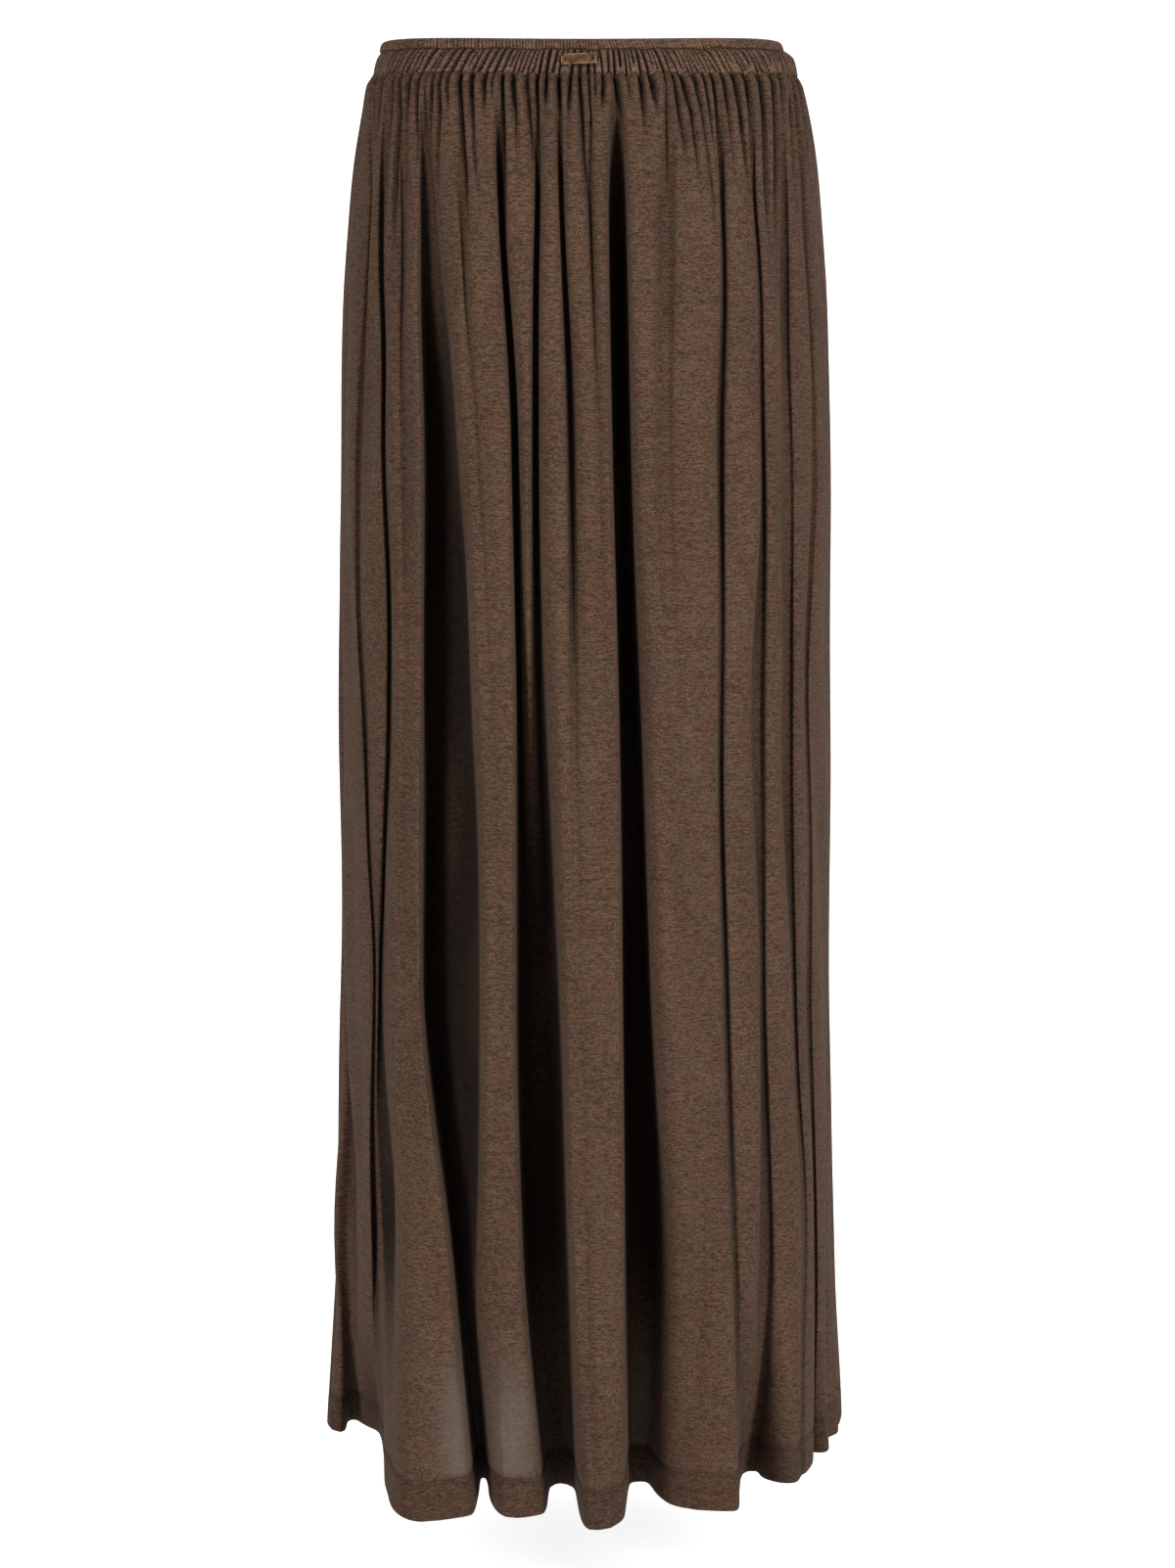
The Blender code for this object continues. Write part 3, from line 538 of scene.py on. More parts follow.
def cloth_mesh(name, rows, shades, along, turns, closed):
    """Wall of cloth from rows of points round its section, the first outside at the top;
    shades holds each point's painted shade and painted light, along is each column's
    distance round it and turns each row's distance down it."""
    count = len(rows[0])
    points = np.concatenate(rows)
    down = len(rows)
    k, j = np.meshgrid(np.arange(down), np.arange(count if closed else count - 1),
                       indexing="ij")
    below, beside = (k + 1) % down, (j + 1) % count
    quads = np.stack([row * count + column for row, column in (
        (k, j), (below, j), (below, beside), (k, beside))], axis=-1).reshape(-1, 4)
    flat = np.append(turns, turns[-1] + 0.001)
    uv = np.stack([np.stack([along[j + right], flat[k + lower]], -1)
                   for right, lower in ((0, 0), (0, 1), (1, 1), (1, 0))],
                  axis=2).reshape(-1, 2)
    mesh = bpy.data.meshes.new(name)
    mesh.vertices.add(len(points))
    mesh.vertices.foreach_set("co", points.ravel())
    corners, starts = quads.ravel(), np.arange(0, 4 * len(quads), 4)
    if not closed:
        # the wall's ends at the side seams
        ends = np.arange(down) * count
        corners = np.concatenate([corners, ends[::-1], ends + count - 1])
        starts = np.append(starts, 4 * len(quads) + np.array((0, down)))
        uv = np.concatenate([uv, np.column_stack([0 * turns + along[0], turns])[::-1],
                             np.column_stack([0 * turns + along[-1], turns])])
    mesh.loops.add(len(corners))
    mesh.loops.foreach_set("vertex_index", corners)
    mesh.polygons.add(len(starts))
    mesh.polygons.foreach_set("loop_start", starts)
    mesh.polygons.foreach_set("loop_total", np.diff(np.append(starts, len(corners))))
    mesh.update(calc_edges=True)
    mesh.uv_layers.new(name="cloth").data.foreach_set("uv", uv.ravel())
    for label, values in shades.items():
        shade = mesh.attributes.new(label, "FLOAT", "POINT")
        shade.data.foreach_set("value", np.concatenate(values).astype(np.float32))
    mesh.shade_smooth()
    for end in mesh.polygons[len(quads):]:
        end.use_smooth = False
    mesh.validate()
    return placed(name, mesh)


# Drops (mm), and insets where they differ, of the rows down the outside, round the
# hem's fold and up the inside
TOP_ROWS = [26.1, 26.5, 27.1, 27.9, 28.9, 30.2, 31.8, 33.8, 36.2, 39, 42.2, 46, 50.2, 54.8,
            60, 65.6, 71.6, 78, 84.8, 92, 99.6, 107.6]
BODY_ROWS = list(np.linspace(117, 938, 45))
STITCH_ROWS = [(944, 0), (948, 0), (950.2, 0), (951.4, 0.05), (952.2, 0.32), (953, 0.42),
               (953.8, 0.3), (954.8, 0.3), (955.6, 0.42), (956.4, 0.3), (957.4, 0.02),
               (960, -0.1), (964, -0.1), (969, -0.05), (974, 0), (977.5, 0)]
FOLD_ROWS = [(979, 0.12), (979.7, 0.5), (980, 1.05), (979.7, 1.6), (979, 1.98)]
INSIDE_ROWS = [(976, HEM_WALL), (968, HEM_WALL), (960, HEM_WALL), (955, HEM_WALL),
               (953.4, HEM_WALL), (952.6, 1.9), (952, 1.2), (946, JERSEY_WALL)]
OUTSIDE_ROWS = len(TOP_ROWS) + len(BODY_ROWS) + len(STITCH_ROWS) + len(FOLD_ROWS)


def panel_section():
    """Drop and inset (mm) of each row round a panel's wall, from its top edge."""
    section = [(d, 0.25 if d == SEAM_DROP else 0.0) for d in TOP_ROWS]
    section += [(d, 0.0) for d in BODY_ROWS] + STITCH_ROWS + FOLD_ROWS + INSIDE_ROWS
    section += [(d, JERSEY_WALL) for d in BODY_ROWS[::-3]]
    section += [(d, JERSEY_WALL) for d in TOP_ROWS[:0:-2]]
    return section + [(SEAM_DROP, JERSEY_WALL - 0.2)]


def panel(name, first, last):
    """One panel between the middles of two side folds."""
    spans = column_spans(first, last, PANEL_COLUMNS)
    steps = sum(np.linalg.norm(np.diff(ring(drop, spans)[0], axis=0), axis=1)
                for drop in (300, 620, 950)) / 3
    along = np.append(0, np.cumsum(steps)) / 1000
    side = 1 if first == 0 else -1
    rows, painted_shades, painted_backlights, turns = [], [], [], []
    travelled, before = 0.0, None
    for number, (drop, inset) in enumerate(panel_section()):
        row, painted_shade, painted_backlight = cloth_point(spans, drop, inset)
        inside = number >= OUTSIDE_ROWS
        # painted shade and painted light go on the outside rows only
        painted_shades.append(painted_shade * 0 if inside else painted_shade)
        painted_backlights.append(painted_backlight * 0 if inside else painted_backlight)
        # the joined edges turn in at the side seams
        for column, tuck in SEAM_TUCKS:
            row[column, 0] -= math.copysign(tuck, row[column, 0]) / 1000
        row[[0, -1], 1] -= side * SIDE_GAP / 2000
        travelled += 0 if before is None else abs(drop - before[0]) + abs(inset - before[1])
        before = (drop, inset)
        rows.append(row)
        turns.append(travelled / 1000)
    return cloth_mesh(name, rows, {"painted_shade": painted_shades, "painted_backlight": painted_backlights}, along,
                      np.array(turns), False)


def add_node(tree, kind, **settings):
    """A shader node with its settings."""
    node = tree.nodes.new("ShaderNode" + kind)
    for key, value in settings.items():
        setattr(node, key, value)
    return node


def join(tree, source, target):
    """A link between two sockets."""
    tree.links.new(source, target)


def calculate(tree, operation, a, b=None, clamp=False):
    """A Math node's output; a and b are numbers or sockets."""
    node = add_node(tree, "Math", operation=operation, use_clamp=clamp)
    for socket, value in zip(node.inputs, (a, b)):
        if value is None:
            continue
        if isinstance(value, (int, float)):
            socket.default_value = value
        else:
            join(tree, value, socket)
    return node.outputs[0]


def risen(tree, value, start, slope):
    """0 up to start, then rising by slope to 1."""
    past = calculate(tree, "SUBTRACT", value, start)
    return calculate(tree, "MULTIPLY", past, slope, clamp=True)


def mixed(tree, share, a, b, way="MIX"):
    """A colour mixed from two by a share; a and b are colours or sockets."""
    node = add_node(tree, "Mix", data_type="RGBA", blend_type=way)
    join(tree, share, node.inputs["Factor"])
    for label, value in (("A", a), ("B", b)):
        if isinstance(value, tuple):
            node.inputs[label].default_value = (*value, 1)
        else:
            join(tree, value, node.inputs[label])
    return node.outputs["Result"]


def toned(tree, share, *stops):
    """A colour chosen along a share; each stop is a place from 0 to 1 and a colour."""
    node = add_node(tree, "ValToRGB")
    ramp = node.color_ramp
    while len(ramp.elements) < len(stops):
        ramp.elements.new(0.5)
    for element, (place, colour) in zip(ramp.elements, stops):
        element.position = place
        element.color = (*colour, 1)
    join(tree, share, node.inputs["Fac"])
    return node.outputs["Color"]


def noise(tree, place, scale, detail, rough=0.5):
    """Noise from 0 to 1, in features per metre."""
    node = add_node(tree, "TexNoise")
    for label, value in (("Scale", scale), ("Detail", detail), ("Roughness", rough)):
        node.inputs[label].default_value = value
    join(tree, place, node.inputs["Vector"])
    return node.outputs["Fac"]


def raised(tree, shader, height, distance, strength=1.0):
    """Relief on the shader's surface from a height; distance in metres."""
    relief = add_node(tree, "Bump")
    relief.inputs["Strength"].default_value = strength
    relief.inputs["Distance"].default_value = distance
    join(tree, height, relief.inputs["Height"])
    join(tree, relief.outputs["Normal"], shader.inputs["Normal"])


def scaled(colour, share):
    """The same colour, darker or lighter."""
    return tuple(share * part for part in colour)


def new_material(name):
    """A material, its node tree, its shader and the place on the object."""
    material = bpy.data.materials.new(name)
    material.use_nodes = True
    tree = material.node_tree
    place = add_node(tree, "TexCoord").outputs["Object"]
    return material, tree, tree.nodes["Principled BSDF"], place


def heather_group():
    """Heathered single jersey: slubby streaks along the rows, pale and reddish flecks,
    broad mottling, and the height of its small V stitches."""
    group = bpy.data.node_groups.new("heathered knit", "ShaderNodeTree")
    for label, kind in (("Place", "NodeSocketVector"), ("Cloth", "NodeSocketVector"),
                        ("Stitch Width", "NodeSocketFloat")):
        group.interface.new_socket(label, in_out="INPUT", socket_type=kind)
    for label in ("Shade", "Pale Fleck", "Red Fleck", "Stitch Height"):
        group.interface.new_socket(label, in_out="OUTPUT", socket_type="NodeSocketFloat")
    inlet = group.nodes.new("NodeGroupInput")
    outlet = group.nodes.new("NodeGroupOutput")

    def knit_noise(level, upright, detail, rough, offset):
        """Noise finer up and down the cloth than round it (features per metre)."""
        stretch = add_node(group, "Mapping")
        stretch.inputs["Location"].default_value = (offset, offset * 1.7, offset * 0.6)
        stretch.inputs["Scale"].default_value = (level, level, upright)
        join(group, inlet.outputs["Place"], stretch.inputs["Vector"])
        return noise(group, stretch.outputs["Vector"], 1, detail, rough)

    streak = knit_noise(260, 1200, 1, 0.6, 3.1)
    slub = knit_noise(60, 600, 1, 0.5, 8.3)
    fleck = knit_noise(1050, 1400, 1, 0.7, 1.7)
    mottle = knit_noise(26, 18, 2, 0.55, 5.9)
    red = knit_noise(75, 60, 2, 0.65, 12.4)
    total = 0.5
    for part, weight in ((streak, 1.6), (slub, 0.5), (fleck, 1.9), (mottle, 0.16)):
        off = calculate(group, "MULTIPLY", calculate(group, "SUBTRACT", part, 0.5), weight)
        total = calculate(group, "ADD", off, total)
    join(group, calculate(group, "ADD", total, 0, clamp=True), outlet.inputs["Shade"])
    join(group, risen(group, fleck, 0.6, 5.0), outlet.inputs["Pale Fleck"])
    join(group, risen(group, red, 0.42, 4.0), outlet.inputs["Red Fleck"])
    # V stitches: each leg of a wale slants across its courses
    split = add_node(group, "SeparateXYZ")
    join(group, inlet.outputs["Cloth"], split.inputs[0])
    width = inlet.outputs["Stitch Width"]
    wale = calculate(group, "DIVIDE", split.outputs["X"], width)
    course = calculate(group, "DIVIDE", split.outputs["Y"],
                       calculate(group, "MULTIPLY", width, 0.75))
    leg = calculate(group, "PINGPONG", wale, 0.5)
    slant = calculate(group, "ADD", course, calculate(group, "MULTIPLY", leg, 1.1))
    height = calculate(group, "MULTIPLY", streak, 1.6)
    for turn, weight in ((slant, 0.3), (leg, 0.7)):
        wave = calculate(group, "SINE", calculate(group, "MULTIPLY", turn, 2 * math.pi))
        wave = calculate(group, "MULTIPLY", wave, weight)
        height = calculate(group, "ADD", wave, height)
    join(group, height, outlet.inputs["Stitch Height"])
    return group


HEATHER = heather_group()
BROWN = (0.0865, 0.0515, 0.032)
PALE_FIBRE = (0.30, 0.215, 0.165)
PAINTED_BACKLIGHT = (0.17, 0.142, 0.12)                # painted light, where light shows through the cloth
# These multiply the cloth's own colour
RED_FIBRE = (1.12, 0.86, 0.86)
DOUBLED_HEM_SHADE = (0.84, 0.83, 0.82)              # painted shade, as two layers let no light through
PAINTED_CREASE_SHADE = (0.13, 0.12, 0.11)            # painted shade, deep between folds


def jersey(name, ground, stitch, bump, hem_from=None):
    """Brown jersey over the knit group; stitch and bump are the width and height of its
    stitches (metres), and below hem_from (metres down the cloth) it is doubled, with painted
    shade."""
    material, tree, shader, place = new_material(name)
    cloth = add_node(tree, "UVMap", uv_map="cloth").outputs["UV"]
    knit = tree.nodes.new("ShaderNodeGroup")
    knit.node_tree = HEATHER
    knit.inputs["Stitch Width"].default_value = stitch
    join(tree, cloth, knit.inputs["Cloth"])
    join(tree, place, knit.inputs["Place"])
    shade = knit.outputs["Shade"]
    colour = toned(tree, shade, (0.18, scaled(ground, 0.5)), (0.5, ground),
                   (0.84, scaled(ground, 1.55)))
    reddish = calculate(tree, "MULTIPLY", knit.outputs["Red Fleck"], 0.6)
    colour = mixed(tree, reddish, colour, RED_FIBRE, "MULTIPLY")
    pale = calculate(tree, "MULTIPLY", knit.outputs["Pale Fleck"], 0.22)
    colour = mixed(tree, pale, colour, PALE_FIBRE)
    if hem_from is not None:
        # painted shade over the doubled hem, which lets no light through
        split = add_node(tree, "SeparateXYZ")
        join(tree, cloth, split.inputs[0])
        doubled = risen(tree, split.outputs["Y"], hem_from, 900)
        colour = mixed(tree, doubled, colour, DOUBLED_HEM_SHADE, "MULTIPLY")
        # painted light: paler where light shows through the single cloth
        painted_backlight = add_node(tree, "Attribute", attribute_name="painted_backlight").outputs["Fac"]
        colour = mixed(tree, calculate(tree, "MULTIPLY", painted_backlight, 0.5), colour, PAINTED_BACKLIGHT)
    # painted shade: darker in the recesses and between the gathers
    painted_shade = add_node(tree, "Attribute", attribute_name="painted_shade").outputs["Fac"]
    colour = mixed(tree, painted_shade, colour, PAINTED_CREASE_SHADE, "MULTIPLY")
    join(tree, colour, shader.inputs["Base Color"])
    rough = calculate(tree, "ADD", calculate(tree, "MULTIPLY", shade, -0.12), 0.94)
    join(tree, rough, shader.inputs["Roughness"])
    raised(tree, shader, knit.outputs["Stitch Height"], bump, 0.7)
    shader.inputs["Specular IOR Level"].default_value = 0.15
    shader.inputs["Sheen Weight"].default_value = 0.08
    shader.inputs["Sheen Roughness"].default_value = 0.45
    shader.inputs["Sheen Tint"].default_value = (0.75, 0.6, 0.5, 1)
    return material


panel_jersey = jersey("heathered brown jersey", BROWN, stitch=0.00105, bump=0.00016,
                      hem_from=(HEM_LINE - SEAM_DROP) / 1000)
front = panel("front_panel_cloth", 0, len(FRONT_FOLDS) - 1)
back = panel("back_panel_cloth", len(FRONT_FOLDS) - 1, FOLDS)
for cloth, node, slot in ((front, "front_panel", "jersey_front"),
                          (back, "back_panel", "jersey_back")):
    cloth.data.materials.append(panel_jersey)
    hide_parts(node)
    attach(cloth, "root")

# ---------------------------------------------------------------------------------
# Hem stitching: two rows of short brown polyester stitches from a twin needle, which
# hold the turned-up hem all the way round, 27 mm above its fold.

STITCH_DROPS = (HEM_LINE, 955.6)          # mm
STITCH_SIDES = 5
STITCH_DIP = 1.2                          # an end sinks this much more than it stands out


def thread_colour(name, colour):
    """Matt spun polyester thread, its twist as fine slanting bands."""
    material, tree, shader, place = new_material(name)
    twist = add_node(tree, "TexWave", wave_type="BANDS", bands_direction="DIAGONAL")
    twist.inputs["Scale"].default_value = 1400
    join(tree, place, twist.inputs["Vector"])
    colour = toned(tree, twist.outputs["Fac"], (0, scaled(colour, 0.6)),
                   (1, scaled(colour, 1.3)))
    join(tree, colour, shader.inputs["Base Color"])
    raised(tree, shader, twist.outputs["Fac"], 0.00005)
    shader.inputs["Roughness"].default_value = 0.62
    shader.inputs["Specular IOR Level"].default_value = 0.3
    return material


brown_thread = thread_colour("brown thread", (0.052, 0.031, 0.021))


def stitch_row(name, path, outward, pitch, thick, proud):
    """Short stitches along a closed path, dipping into the cloth at both ends; their
    pitch, thickness and how far they stand out are in metres."""
    loop = np.vstack([path, path[:1]])
    faced = np.vstack([outward, outward[:1]])
    travelled = np.append(0, np.cumsum(np.linalg.norm(np.diff(loop, axis=0), axis=1)))
    count = int(travelled[-1] / pitch)
    shares = np.array((0.08, 0.3, 0.64, 0.86))
    rise = np.array((-STITCH_DIP, 1.0, 1.0, -STITCH_DIP)) * proud
    size = np.array((0.6, 1.0, 1.0, 0.6)) * thick / 2
    at = (np.arange(count)[:, None] + shares) * travelled[-1] / count
    centre = np.stack([np.interp(at, travelled, loop[:, k]) for k in range(3)], axis=-1)
    face = np.stack([np.interp(at, travelled, faced[:, k]) for k in range(3)], axis=-1)
    face /= np.linalg.norm(face, axis=-1, keepdims=True)
    centre = centre + face * rise[:, None]
    along = centre[:, -1:] - centre[:, :1]
    along = along / np.linalg.norm(along, axis=-1, keepdims=True)
    across = np.cross(along, face)
    turn = (np.arange(STITCH_SIDES) * 2 * math.pi / STITCH_SIDES)[:, None]
    circle = face[:, :, None] * np.cos(turn) + across[:, :, None] * np.sin(turn)
    points = (centre[:, :, None] + circle * size[:, None, None]).reshape(-1, 3)
    faces = []
    for first in range(0, count * 4 * STITCH_SIDES, 4 * STITCH_SIDES):
        rings = np.arange(first, first + 4 * STITCH_SIDES).reshape(4, -1).tolist()
        for near, far in zip(rings, rings[1:]):
            faces += zip(near, far, far[1:] + far[:1], near[1:] + near[:1])
        faces += [rings[0], rings[3][::-1]]
    mesh = bpy.data.meshes.new(name)
    mesh.from_pydata(points.tolist(), [], faces)
    mesh.shade_smooth()
    mesh.materials.append(brown_thread)
    row = placed(name, mesh)
    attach(row, "root")
    return row


round_spans = np.linspace(SEAM_SPAN, 4 * FOLDS + SEAM_SPAN, 6001)[:-1]
for number, drop in enumerate(STITCH_DROPS):
    path = cloth_point(round_spans, drop, 0.3)[0]
    faced = np.column_stack([ring(drop, round_spans)[1], 0 * round_spans])
    row = stitch_row("hem_stitches_%d" % (number + 1), path, faced, pitch=0.0031,
                     thick=0.00055, proud=0.00018)

# ---------------------------------------------------------------------------------
# Waistband: one strip of the same jersey folded over elastic and drawn up, stitched
# into a narrow ruffled roll along its top and a wider gathered channel under it.

BAND_COLUMNS = 2200
ROLL_LINE = 8.45          # mm, drop of the stitching between roll and channel
BAND_FOOT = 25.8          # mm, drop of the waistband's lower edge
ROLL_PULL = 5.0           # mm, the roll is pulled in this much on the wearer's left
RIBS = 330                # round the roll
LASTING = 40.0            # mm, the drop given to a gather that isn't forked
BAND_PAINTED_LIT_BROWN = (0.15, 0.0915, 0.0595)       # painted light: a paler copy of the panels' jersey, as if more light falls on the band

# Drop and how far the cloth stands out from the outline (mm), down the outside and up
# the inside
BAND_OUTSIDE = [(0, -1.3), (0.25, -0.5), (0.9, 0.15), (2, 0.45), (3.6, 0.6), (5.2, 0.45),
                (6.6, 0), (7.6, -0.7), (8.2, -1.4), (8.5, -1.7), (8.8, -1.4), (9.6, -0.5),
                (11, 0.2), (13, 0.6), (15.5, 0.8), (18, 0.8), (20.5, 0.65), (22.5, 0.35),
                (24.2, 0.2), (25.2, 0.05), (BAND_FOOT, -0.4)]
BAND_INSIDE = [(BAND_FOOT, -2.4), (22, -2.6), (16, -2.8), (9.4, -3.0), (8.5, -2.8),
               (7.4, -3.1), (3.6, -3.3), (1, -3.0), (0.2, -2.2)]


def channel_gathers():
    """The channel's gathers: bearing at its foot and top (degrees), depth (mm), and the
    drop where a forked one has run out."""
    rng = np.random.default_rng(31)
    feet = GATHERS[:, 0]
    found = []
    for k, foot in enumerate(feet):
        gap = (feet[(k + 1) % len(feet)] - foot) % 360
        places = [(foot, rng.uniform(2.8, 4.0), LASTING)]
        for share in ((0.5,) if gap < 4.4 else (0.34, 0.67)):
            if gap > 3.2 or rng.random() < 0.25:
                places.append((foot + gap * (share + rng.uniform(-0.1, 0.1)),
                               rng.uniform(1.9, 3.8), rng.uniform(20, 38)))
        for place, depth, end in places:
            lean = (3.6 if turned(place) < 0 else 3.2) * math.sin(math.radians(2 * place))
            lean += rng.uniform(-0.8, 0.8)
            lean *= 1 if abs(turned(place)) < 90 else -0.6
            found.append((turned(place), turned(place - lean), depth, end))
    return np.array(found)


CHANNEL_GATHERS = channel_gathers()


def roll_ribs():
    """The roll's fine ribs: bearing (degrees), depth (mm) and slant (mm)."""
    rng = np.random.default_rng(41)
    bearing = -180 + 360 * (np.arange(RIBS) + rng.uniform(-0.24, 0.24, RIBS)) / RIBS
    depth = rng.uniform(0.7, 1.5, RIBS)
    slant = 0.4 + 3.2 * smooth((bearing + 8) / 30) * (1 - smooth((bearing - 120) / 30))
    return bearing, depth, slant


ROLL_RIBS = roll_ribs()


def band_depth(bearings, drop):
    """How far (mm) the ribs or gathers of the waistband are drawn in."""
    reach = np.hypot(*outline_point(bearings, drop, 0).T)
    if drop < ROLL_LINE:
        bearing, depth, slant = ROLL_RIBS
        centres = turned(bearing + np.degrees((drop - 4) / 8 * slant / 128))
        share = smooth(drop / 1.2) * (1 - 0.5 * smooth((drop - 7) / 1.5))
        return drawn_in(bearings, reach, centres, depth * (0.4 + 0.6 * share), 3.0)
    foot, top, depth, end = CHANNEL_GATHERS.T
    centres = turned(top + turned(foot - top) * (drop - ROLL_LINE) / (BAND_FOOT - ROLL_LINE))
    lasting = np.where(end < LASTING, 1 - smooth((drop - end + 6) / 6), 1.0)
    share = 0.3 + 0.7 * smooth((drop - ROLL_LINE) / 2.5)
    return drawn_in(bearings, reach, centres, depth * lasting, 4.0) * share


# Waves of the seam between roll and channel: strength, pitch and start, from 0 to 1
WOBBLE = np.random.default_rng(3).random((9, 3))


def band_point(bearings, drop, out, follow):
    """Points (metres) of the waistband, drawn in by its gathers times follow."""
    drawn = band_depth(bearings, drop)
    plan = outline_point(bearings, drop, -out + follow * drawn)
    left = np.clip(plan[:, 0] / OUTLINE[1][0], 0, 1)
    plan[:, 0] -= ROLL_PULL * left**4 * (1 - smooth((drop - 5) / 7))
    wave = sum((0.5 + strength) * np.sin(np.radians(bearings) * round(9 + 50 * pitch)
                                         + 6.28 * start)
               for strength, pitch, start in WOBBLE)
    rise = 0.16 * wave * math.exp(-((drop - ROLL_LINE) / 4)**2)
    rise -= 0.45 * drawn * (drop < 1.5)
    return hung(plan, drop, rise + seam_rise(plan, drop))


even = np.linspace(-180, 180, 7201)
walked = np.append(0, np.cumsum(np.linalg.norm(
    np.diff(outline_point(even, 13, 0), axis=0), axis=1)))
band_bearings = np.interp(np.linspace(0, walked[-1], BAND_COLUMNS + 1), walked, even)[:-1]
band_rows = [band_point(band_bearings, d, out, follow=1.0) for d, out in BAND_OUTSIDE]
band_rows += [band_point(band_bearings, d, out, follow=0.45) for d, out in BAND_INSIDE]
# painted shade: darker in the gathers' valleys, along the seam under the roll and at the
# band's foot
band_painted_shades = []
for drop, out in BAND_OUTSIDE:
    full = 1.1 if drop < ROLL_LINE else 1.25
    painted_shade = (band_depth(band_bearings, drop) / full)**1.1
    painted_shade += 0.8 * math.exp(-((drop - ROLL_LINE) / 0.7)**2)
    painted_shade += 0.12 * math.exp(-((drop - BAND_FOOT) / 0.9)**2)
    band_painted_shades.append(np.clip(painted_shade, 0, 1))
# painted shadow of the label plate on the gathers under it
low, high = (Vector(corner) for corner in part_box("label_plate"))
for row, painted_shade in zip(band_rows, band_painted_shades):
    under = np.exp(-((row[:, 2] - low.z - 0.0013) / 0.0008)**2) * (row[:, 1] < 0)
    under *= smooth(9 - 750 * np.abs(row[:, 0] - (low.x + high.x) / 2))
    np.maximum(painted_shade, 0.85 * under, out=painted_shade)
band_painted_shades += [np.zeros(BAND_COLUMNS)] * len(BAND_INSIDE)
band_steps = np.abs(np.diff(np.array(BAND_OUTSIDE + BAND_INSIDE), axis=0)).sum(axis=1)
band_turns = np.append(0, np.cumsum(band_steps)) / 1000
band_along = np.linspace(0, 1.35, BAND_COLUMNS + 1)
band = cloth_mesh("waistband_cloth", band_rows, {"painted_shade": band_painted_shades}, band_along,
                  band_turns, True)
band.data.materials.append(jersey("heathered brown jersey over elastic", BAND_PAINTED_LIT_BROWN,
                                  stitch=0.001, bump=0.00014))
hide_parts("waistband")
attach(band, "root")

# ---------------------------------------------------------------------------------
# Waistband stitching: a row of brown stitches sunk in the crease under the roll, and
# one along the seam where the gathered panels join the band.

band_turn = np.radians(band_bearings)
band_faced = np.column_stack([np.sin(band_turn), -np.cos(band_turn), 0 * band_turn])
for name, drop, out in (("roll_stitches", 8.5, -1.55), ("seam_stitches", 25.4, -0.75)):
    path = band_point(band_bearings, drop, out, follow=0.8)
    row = stitch_row(name, path, band_faced, pitch=0.0027, thick=0.0005, proud=0.00015)

# ---------------------------------------------------------------------------------
# Label plate: a small flat tab of tan leather with a thread hole near each end, sewn on
# the waistband's gathers left of the middle. Its face is left bare.

PLATE_WIDTH, PLATE_HEIGHT, PLATE_THICK = 0.0230, 0.0066, 0.0009
PLATE_TILT = 2.2          # degrees, its end on the wearer's left is higher
PLATE_SHIFT = Vector((0, -0.0006, 0.0019))   # from its CAD box, to lie on the gathers
HOLE_RADIUS, HOLE_INSET = 0.00065, 0.0026
HOLE_POINTS = 24
EDGE_ROUND = 0.00018
NICK = 0.0003             # cut off each corner
RIM = 0.0013              # width of the worn edge
DARK_TAN, TAN = (0.045, 0.019, 0.0075), (0.13, 0.062, 0.027)
WORN_TAN = (0.27, 0.148, 0.072)


def plate_outline(curve, points):
    """One closed outline of the flat plate, in metres."""
    line = curve.splines.new("POLY")
    line.points.add(len(points) - 1)
    for spot, (x, y) in zip(line.points, points):
        spot.co = (x, y, 0, 1)
    line.use_cyclic_u = True


drawing = bpy.data.curves.new("plate_drawing", "CURVE")
drawing.dimensions = "2D"
drawing.fill_mode = "BOTH"
drawing.extrude = PLATE_THICK / 2 - EDGE_ROUND
drawing.bevel_depth = EDGE_ROUND
drawing.bevel_resolution = 2
w, h = PLATE_WIDTH / 2 - EDGE_ROUND, PLATE_HEIGHT / 2 - EDGE_ROUND
plate_outline(drawing, [(-w + NICK, -h), (w - NICK, -h), (w, -h + NICK), (w, h - NICK),
                        (w - NICK, h), (-w + NICK, h), (-w, h - NICK), (-w, -h + NICK)])
for end in (-1, 1):
    middle = end * (PLATE_WIDTH / 2 - HOLE_INSET)
    cut = HOLE_RADIUS + EDGE_ROUND
    plate_outline(drawing, [(middle + cut * math.cos(a), cut * math.sin(a))
                            for a in np.linspace(2 * math.pi, 0, HOLE_POINTS + 1)[1:]])
flat_plate = placed("plate_drawing", drawing)
bpy.context.view_layer.update()
plate_mesh = bpy.data.meshes.new_from_object(
    flat_plate.evaluated_get(bpy.context.evaluated_depsgraph_get()))
bpy.data.objects.remove(flat_plate)
plate = placed("label_plate_tab", plate_mesh)
plate.rotation_euler = (math.radians(90), -math.radians(PLATE_TILT), 0)
plate.location = (low + high) / 2 + PLATE_SHIFT


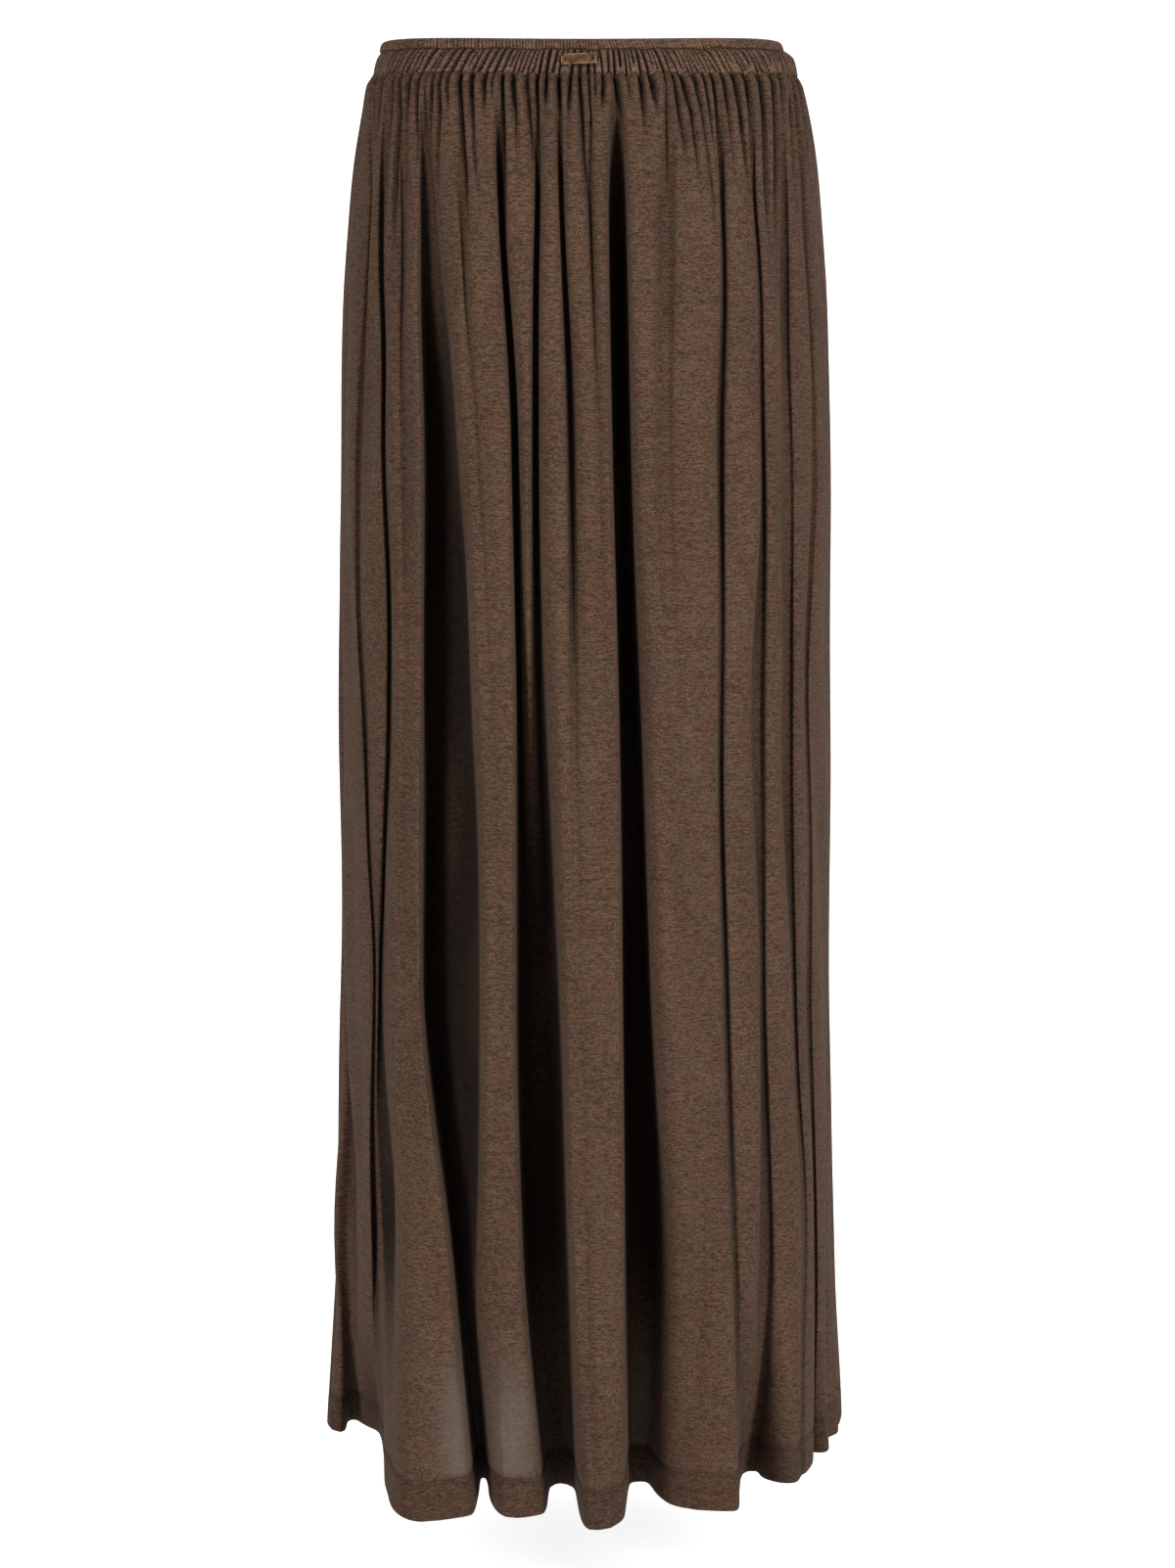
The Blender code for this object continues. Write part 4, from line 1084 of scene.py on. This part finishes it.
def tan_leather():
    """Tan leather, mottled and paler where its edges are worn."""
    material, tree, shader, place = new_material("tan leather")
    blot = noise(tree, place, scale=260, detail=3)
    colour = toned(tree, blot, (0.36, DARK_TAN), (0.68, TAN))
    split = add_node(tree, "SeparateXYZ")
    join(tree, place, split.inputs[0])
    rims = [risen(tree, calculate(tree, "ABSOLUTE", split.outputs[axis]), half - RIM, 900)
            for axis, half in (("X", PLATE_WIDTH / 2), ("Y", PLATE_HEIGHT / 2))]
    rim = calculate(tree, "MULTIPLY", calculate(tree, "MAXIMUM", *rims),
                    risen(tree, blot, 0.36, 4.5))
    colour = mixed(tree, rim, colour, WORN_TAN)
    join(tree, colour, shader.inputs["Base Color"])
    pores = add_node(tree, "TexVoronoi")
    pores.inputs["Scale"].default_value = 2600
    join(tree, place, pores.inputs["Vector"])
    raised(tree, shader, pores.outputs["Distance"], 0.00008, 0.5)
    shader.inputs["Roughness"].default_value = 0.6
    shader.inputs["Specular IOR Level"].default_value = 0.25
    return material


plate_mesh.materials.clear()
plate_mesh.materials.append(tan_leather())
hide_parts("label_plate")
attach(plate, "root")

# ---------------------------------------------------------------------------------
# Studio: a plain white sweep under and behind the skirt, which glows a little so that
# it shows white, with two tall soft lights in front and one behind.

FLOOR = -1.06             # metres; the skirt hangs 8 cm above it
SWEEP_BEND = 2.2          # metres behind the skirt, where the sweep curves up
SWEEP_RADIUS = 1.2
SWEEP_REACH, SWEEP_TOP = 6.0, 5.0
GREYER, WHITER = (0.8, 0.8, 0.8), (0.84, 0.84, 0.84)
GLOW = 0.75


def studio_white():
    """Matt white board; a tenth of its glow to the camera falls on the skirt."""
    material, tree, shader, place = new_material("studio white")
    colour = toned(tree, noise(tree, place, scale=6, detail=2), (0, GREYER), (1, WHITER))
    join(tree, colour, shader.inputs["Base Color"])
    shader.inputs["Roughness"].default_value = 0.95
    shader.inputs["Specular IOR Level"].default_value = 0.0
    seen = add_node(tree, "LightPath").outputs["Is Camera Ray"]
    share = calculate(tree, "ADD", calculate(tree, "MULTIPLY", seen, 0.9), 0.1)
    join(tree, mixed(tree, share, (0, 0, 0), (1, 1, 1)), shader.inputs["Emission Color"])
    shader.inputs["Emission Strength"].default_value = GLOW
    return material


profile = [(-SWEEP_REACH, FLOOR), (SWEEP_BEND, FLOOR)]
for a in np.linspace(0.1, math.pi / 2, 12):
    profile.append((SWEEP_BEND + SWEEP_RADIUS * math.sin(a),
                    FLOOR + SWEEP_RADIUS * (1 - math.cos(a))))
profile.append((SWEEP_BEND + SWEEP_RADIUS, SWEEP_TOP))
sweep_points = [(x, y, z) for y, z in profile for x in (-SWEEP_REACH, SWEEP_REACH)]
sweep_faces = [(k, k + 1, k + 3, k + 2) for k in range(0, 2 * len(profile) - 2, 2)]
sweep_mesh = bpy.data.meshes.new("studio_sweep")
sweep_mesh.from_pydata(sweep_points, [], sweep_faces)
sweep_mesh.shade_smooth()
sweep_mesh.materials.append(studio_white())
placed("studio_sweep", sweep_mesh)


def soft_light(name, place, aim, size, power):
    """A broad soft light at a place, aimed at another; metres and watts."""
    lamp = bpy.data.lights.new(name, "AREA")
    lamp.shape = "RECTANGLE"
    lamp.size, lamp.size_y = size
    lamp.energy = power
    light = placed(name, lamp)
    light.location = place
    light.rotation_euler = (Vector(aim) - Vector(place)).to_track_quat("-Z", "Y").to_euler()


soft_light("left_light", (-1.9, -2.3, 0.1), aim=(0, 0, -0.45), size=(0.8, 3.0), power=62)
soft_light("right_light", (2.1, -2.1, 0.1), aim=(0, 0, -0.45), size=(0.7, 3.0), power=75)
soft_light("back_light", (0.2, 2.4, 1.4), aim=(0, 0, -0.5), size=(2.4, 1.6), power=60)

world = bpy.data.worlds.new("studio air")
world.use_nodes = True
world.node_tree.nodes["Background"].inputs["Color"].default_value = (1, 1, 1, 1)
world.node_tree.nodes["Background"].inputs["Strength"].default_value = 0.08
bpy.context.scene.world = world
bpy.context.scene.view_settings.view_transform = "Standard"

# ---------------------------------------------------------------------------------
# Camera: 2.1 m in front of the skirt and a little below its waist, looking slightly
# down, as worked out from the waist and the hem in the photo.

CAMERA_PLACE = (0.0014, -2.1, -0.176)
CAMERA_DIP = 8.86         # degrees

lens = bpy.data.cameras.new("camera")
lens.sensor_fit = "VERTICAL"
lens.sensor_height = 36
lens.lens = 69.2
camera = placed("camera", lens)
camera.location = CAMERA_PLACE
camera.rotation_euler = (math.radians(90 - CAMERA_DIP), 0, 0)
bpy.context.scene.camera = camera
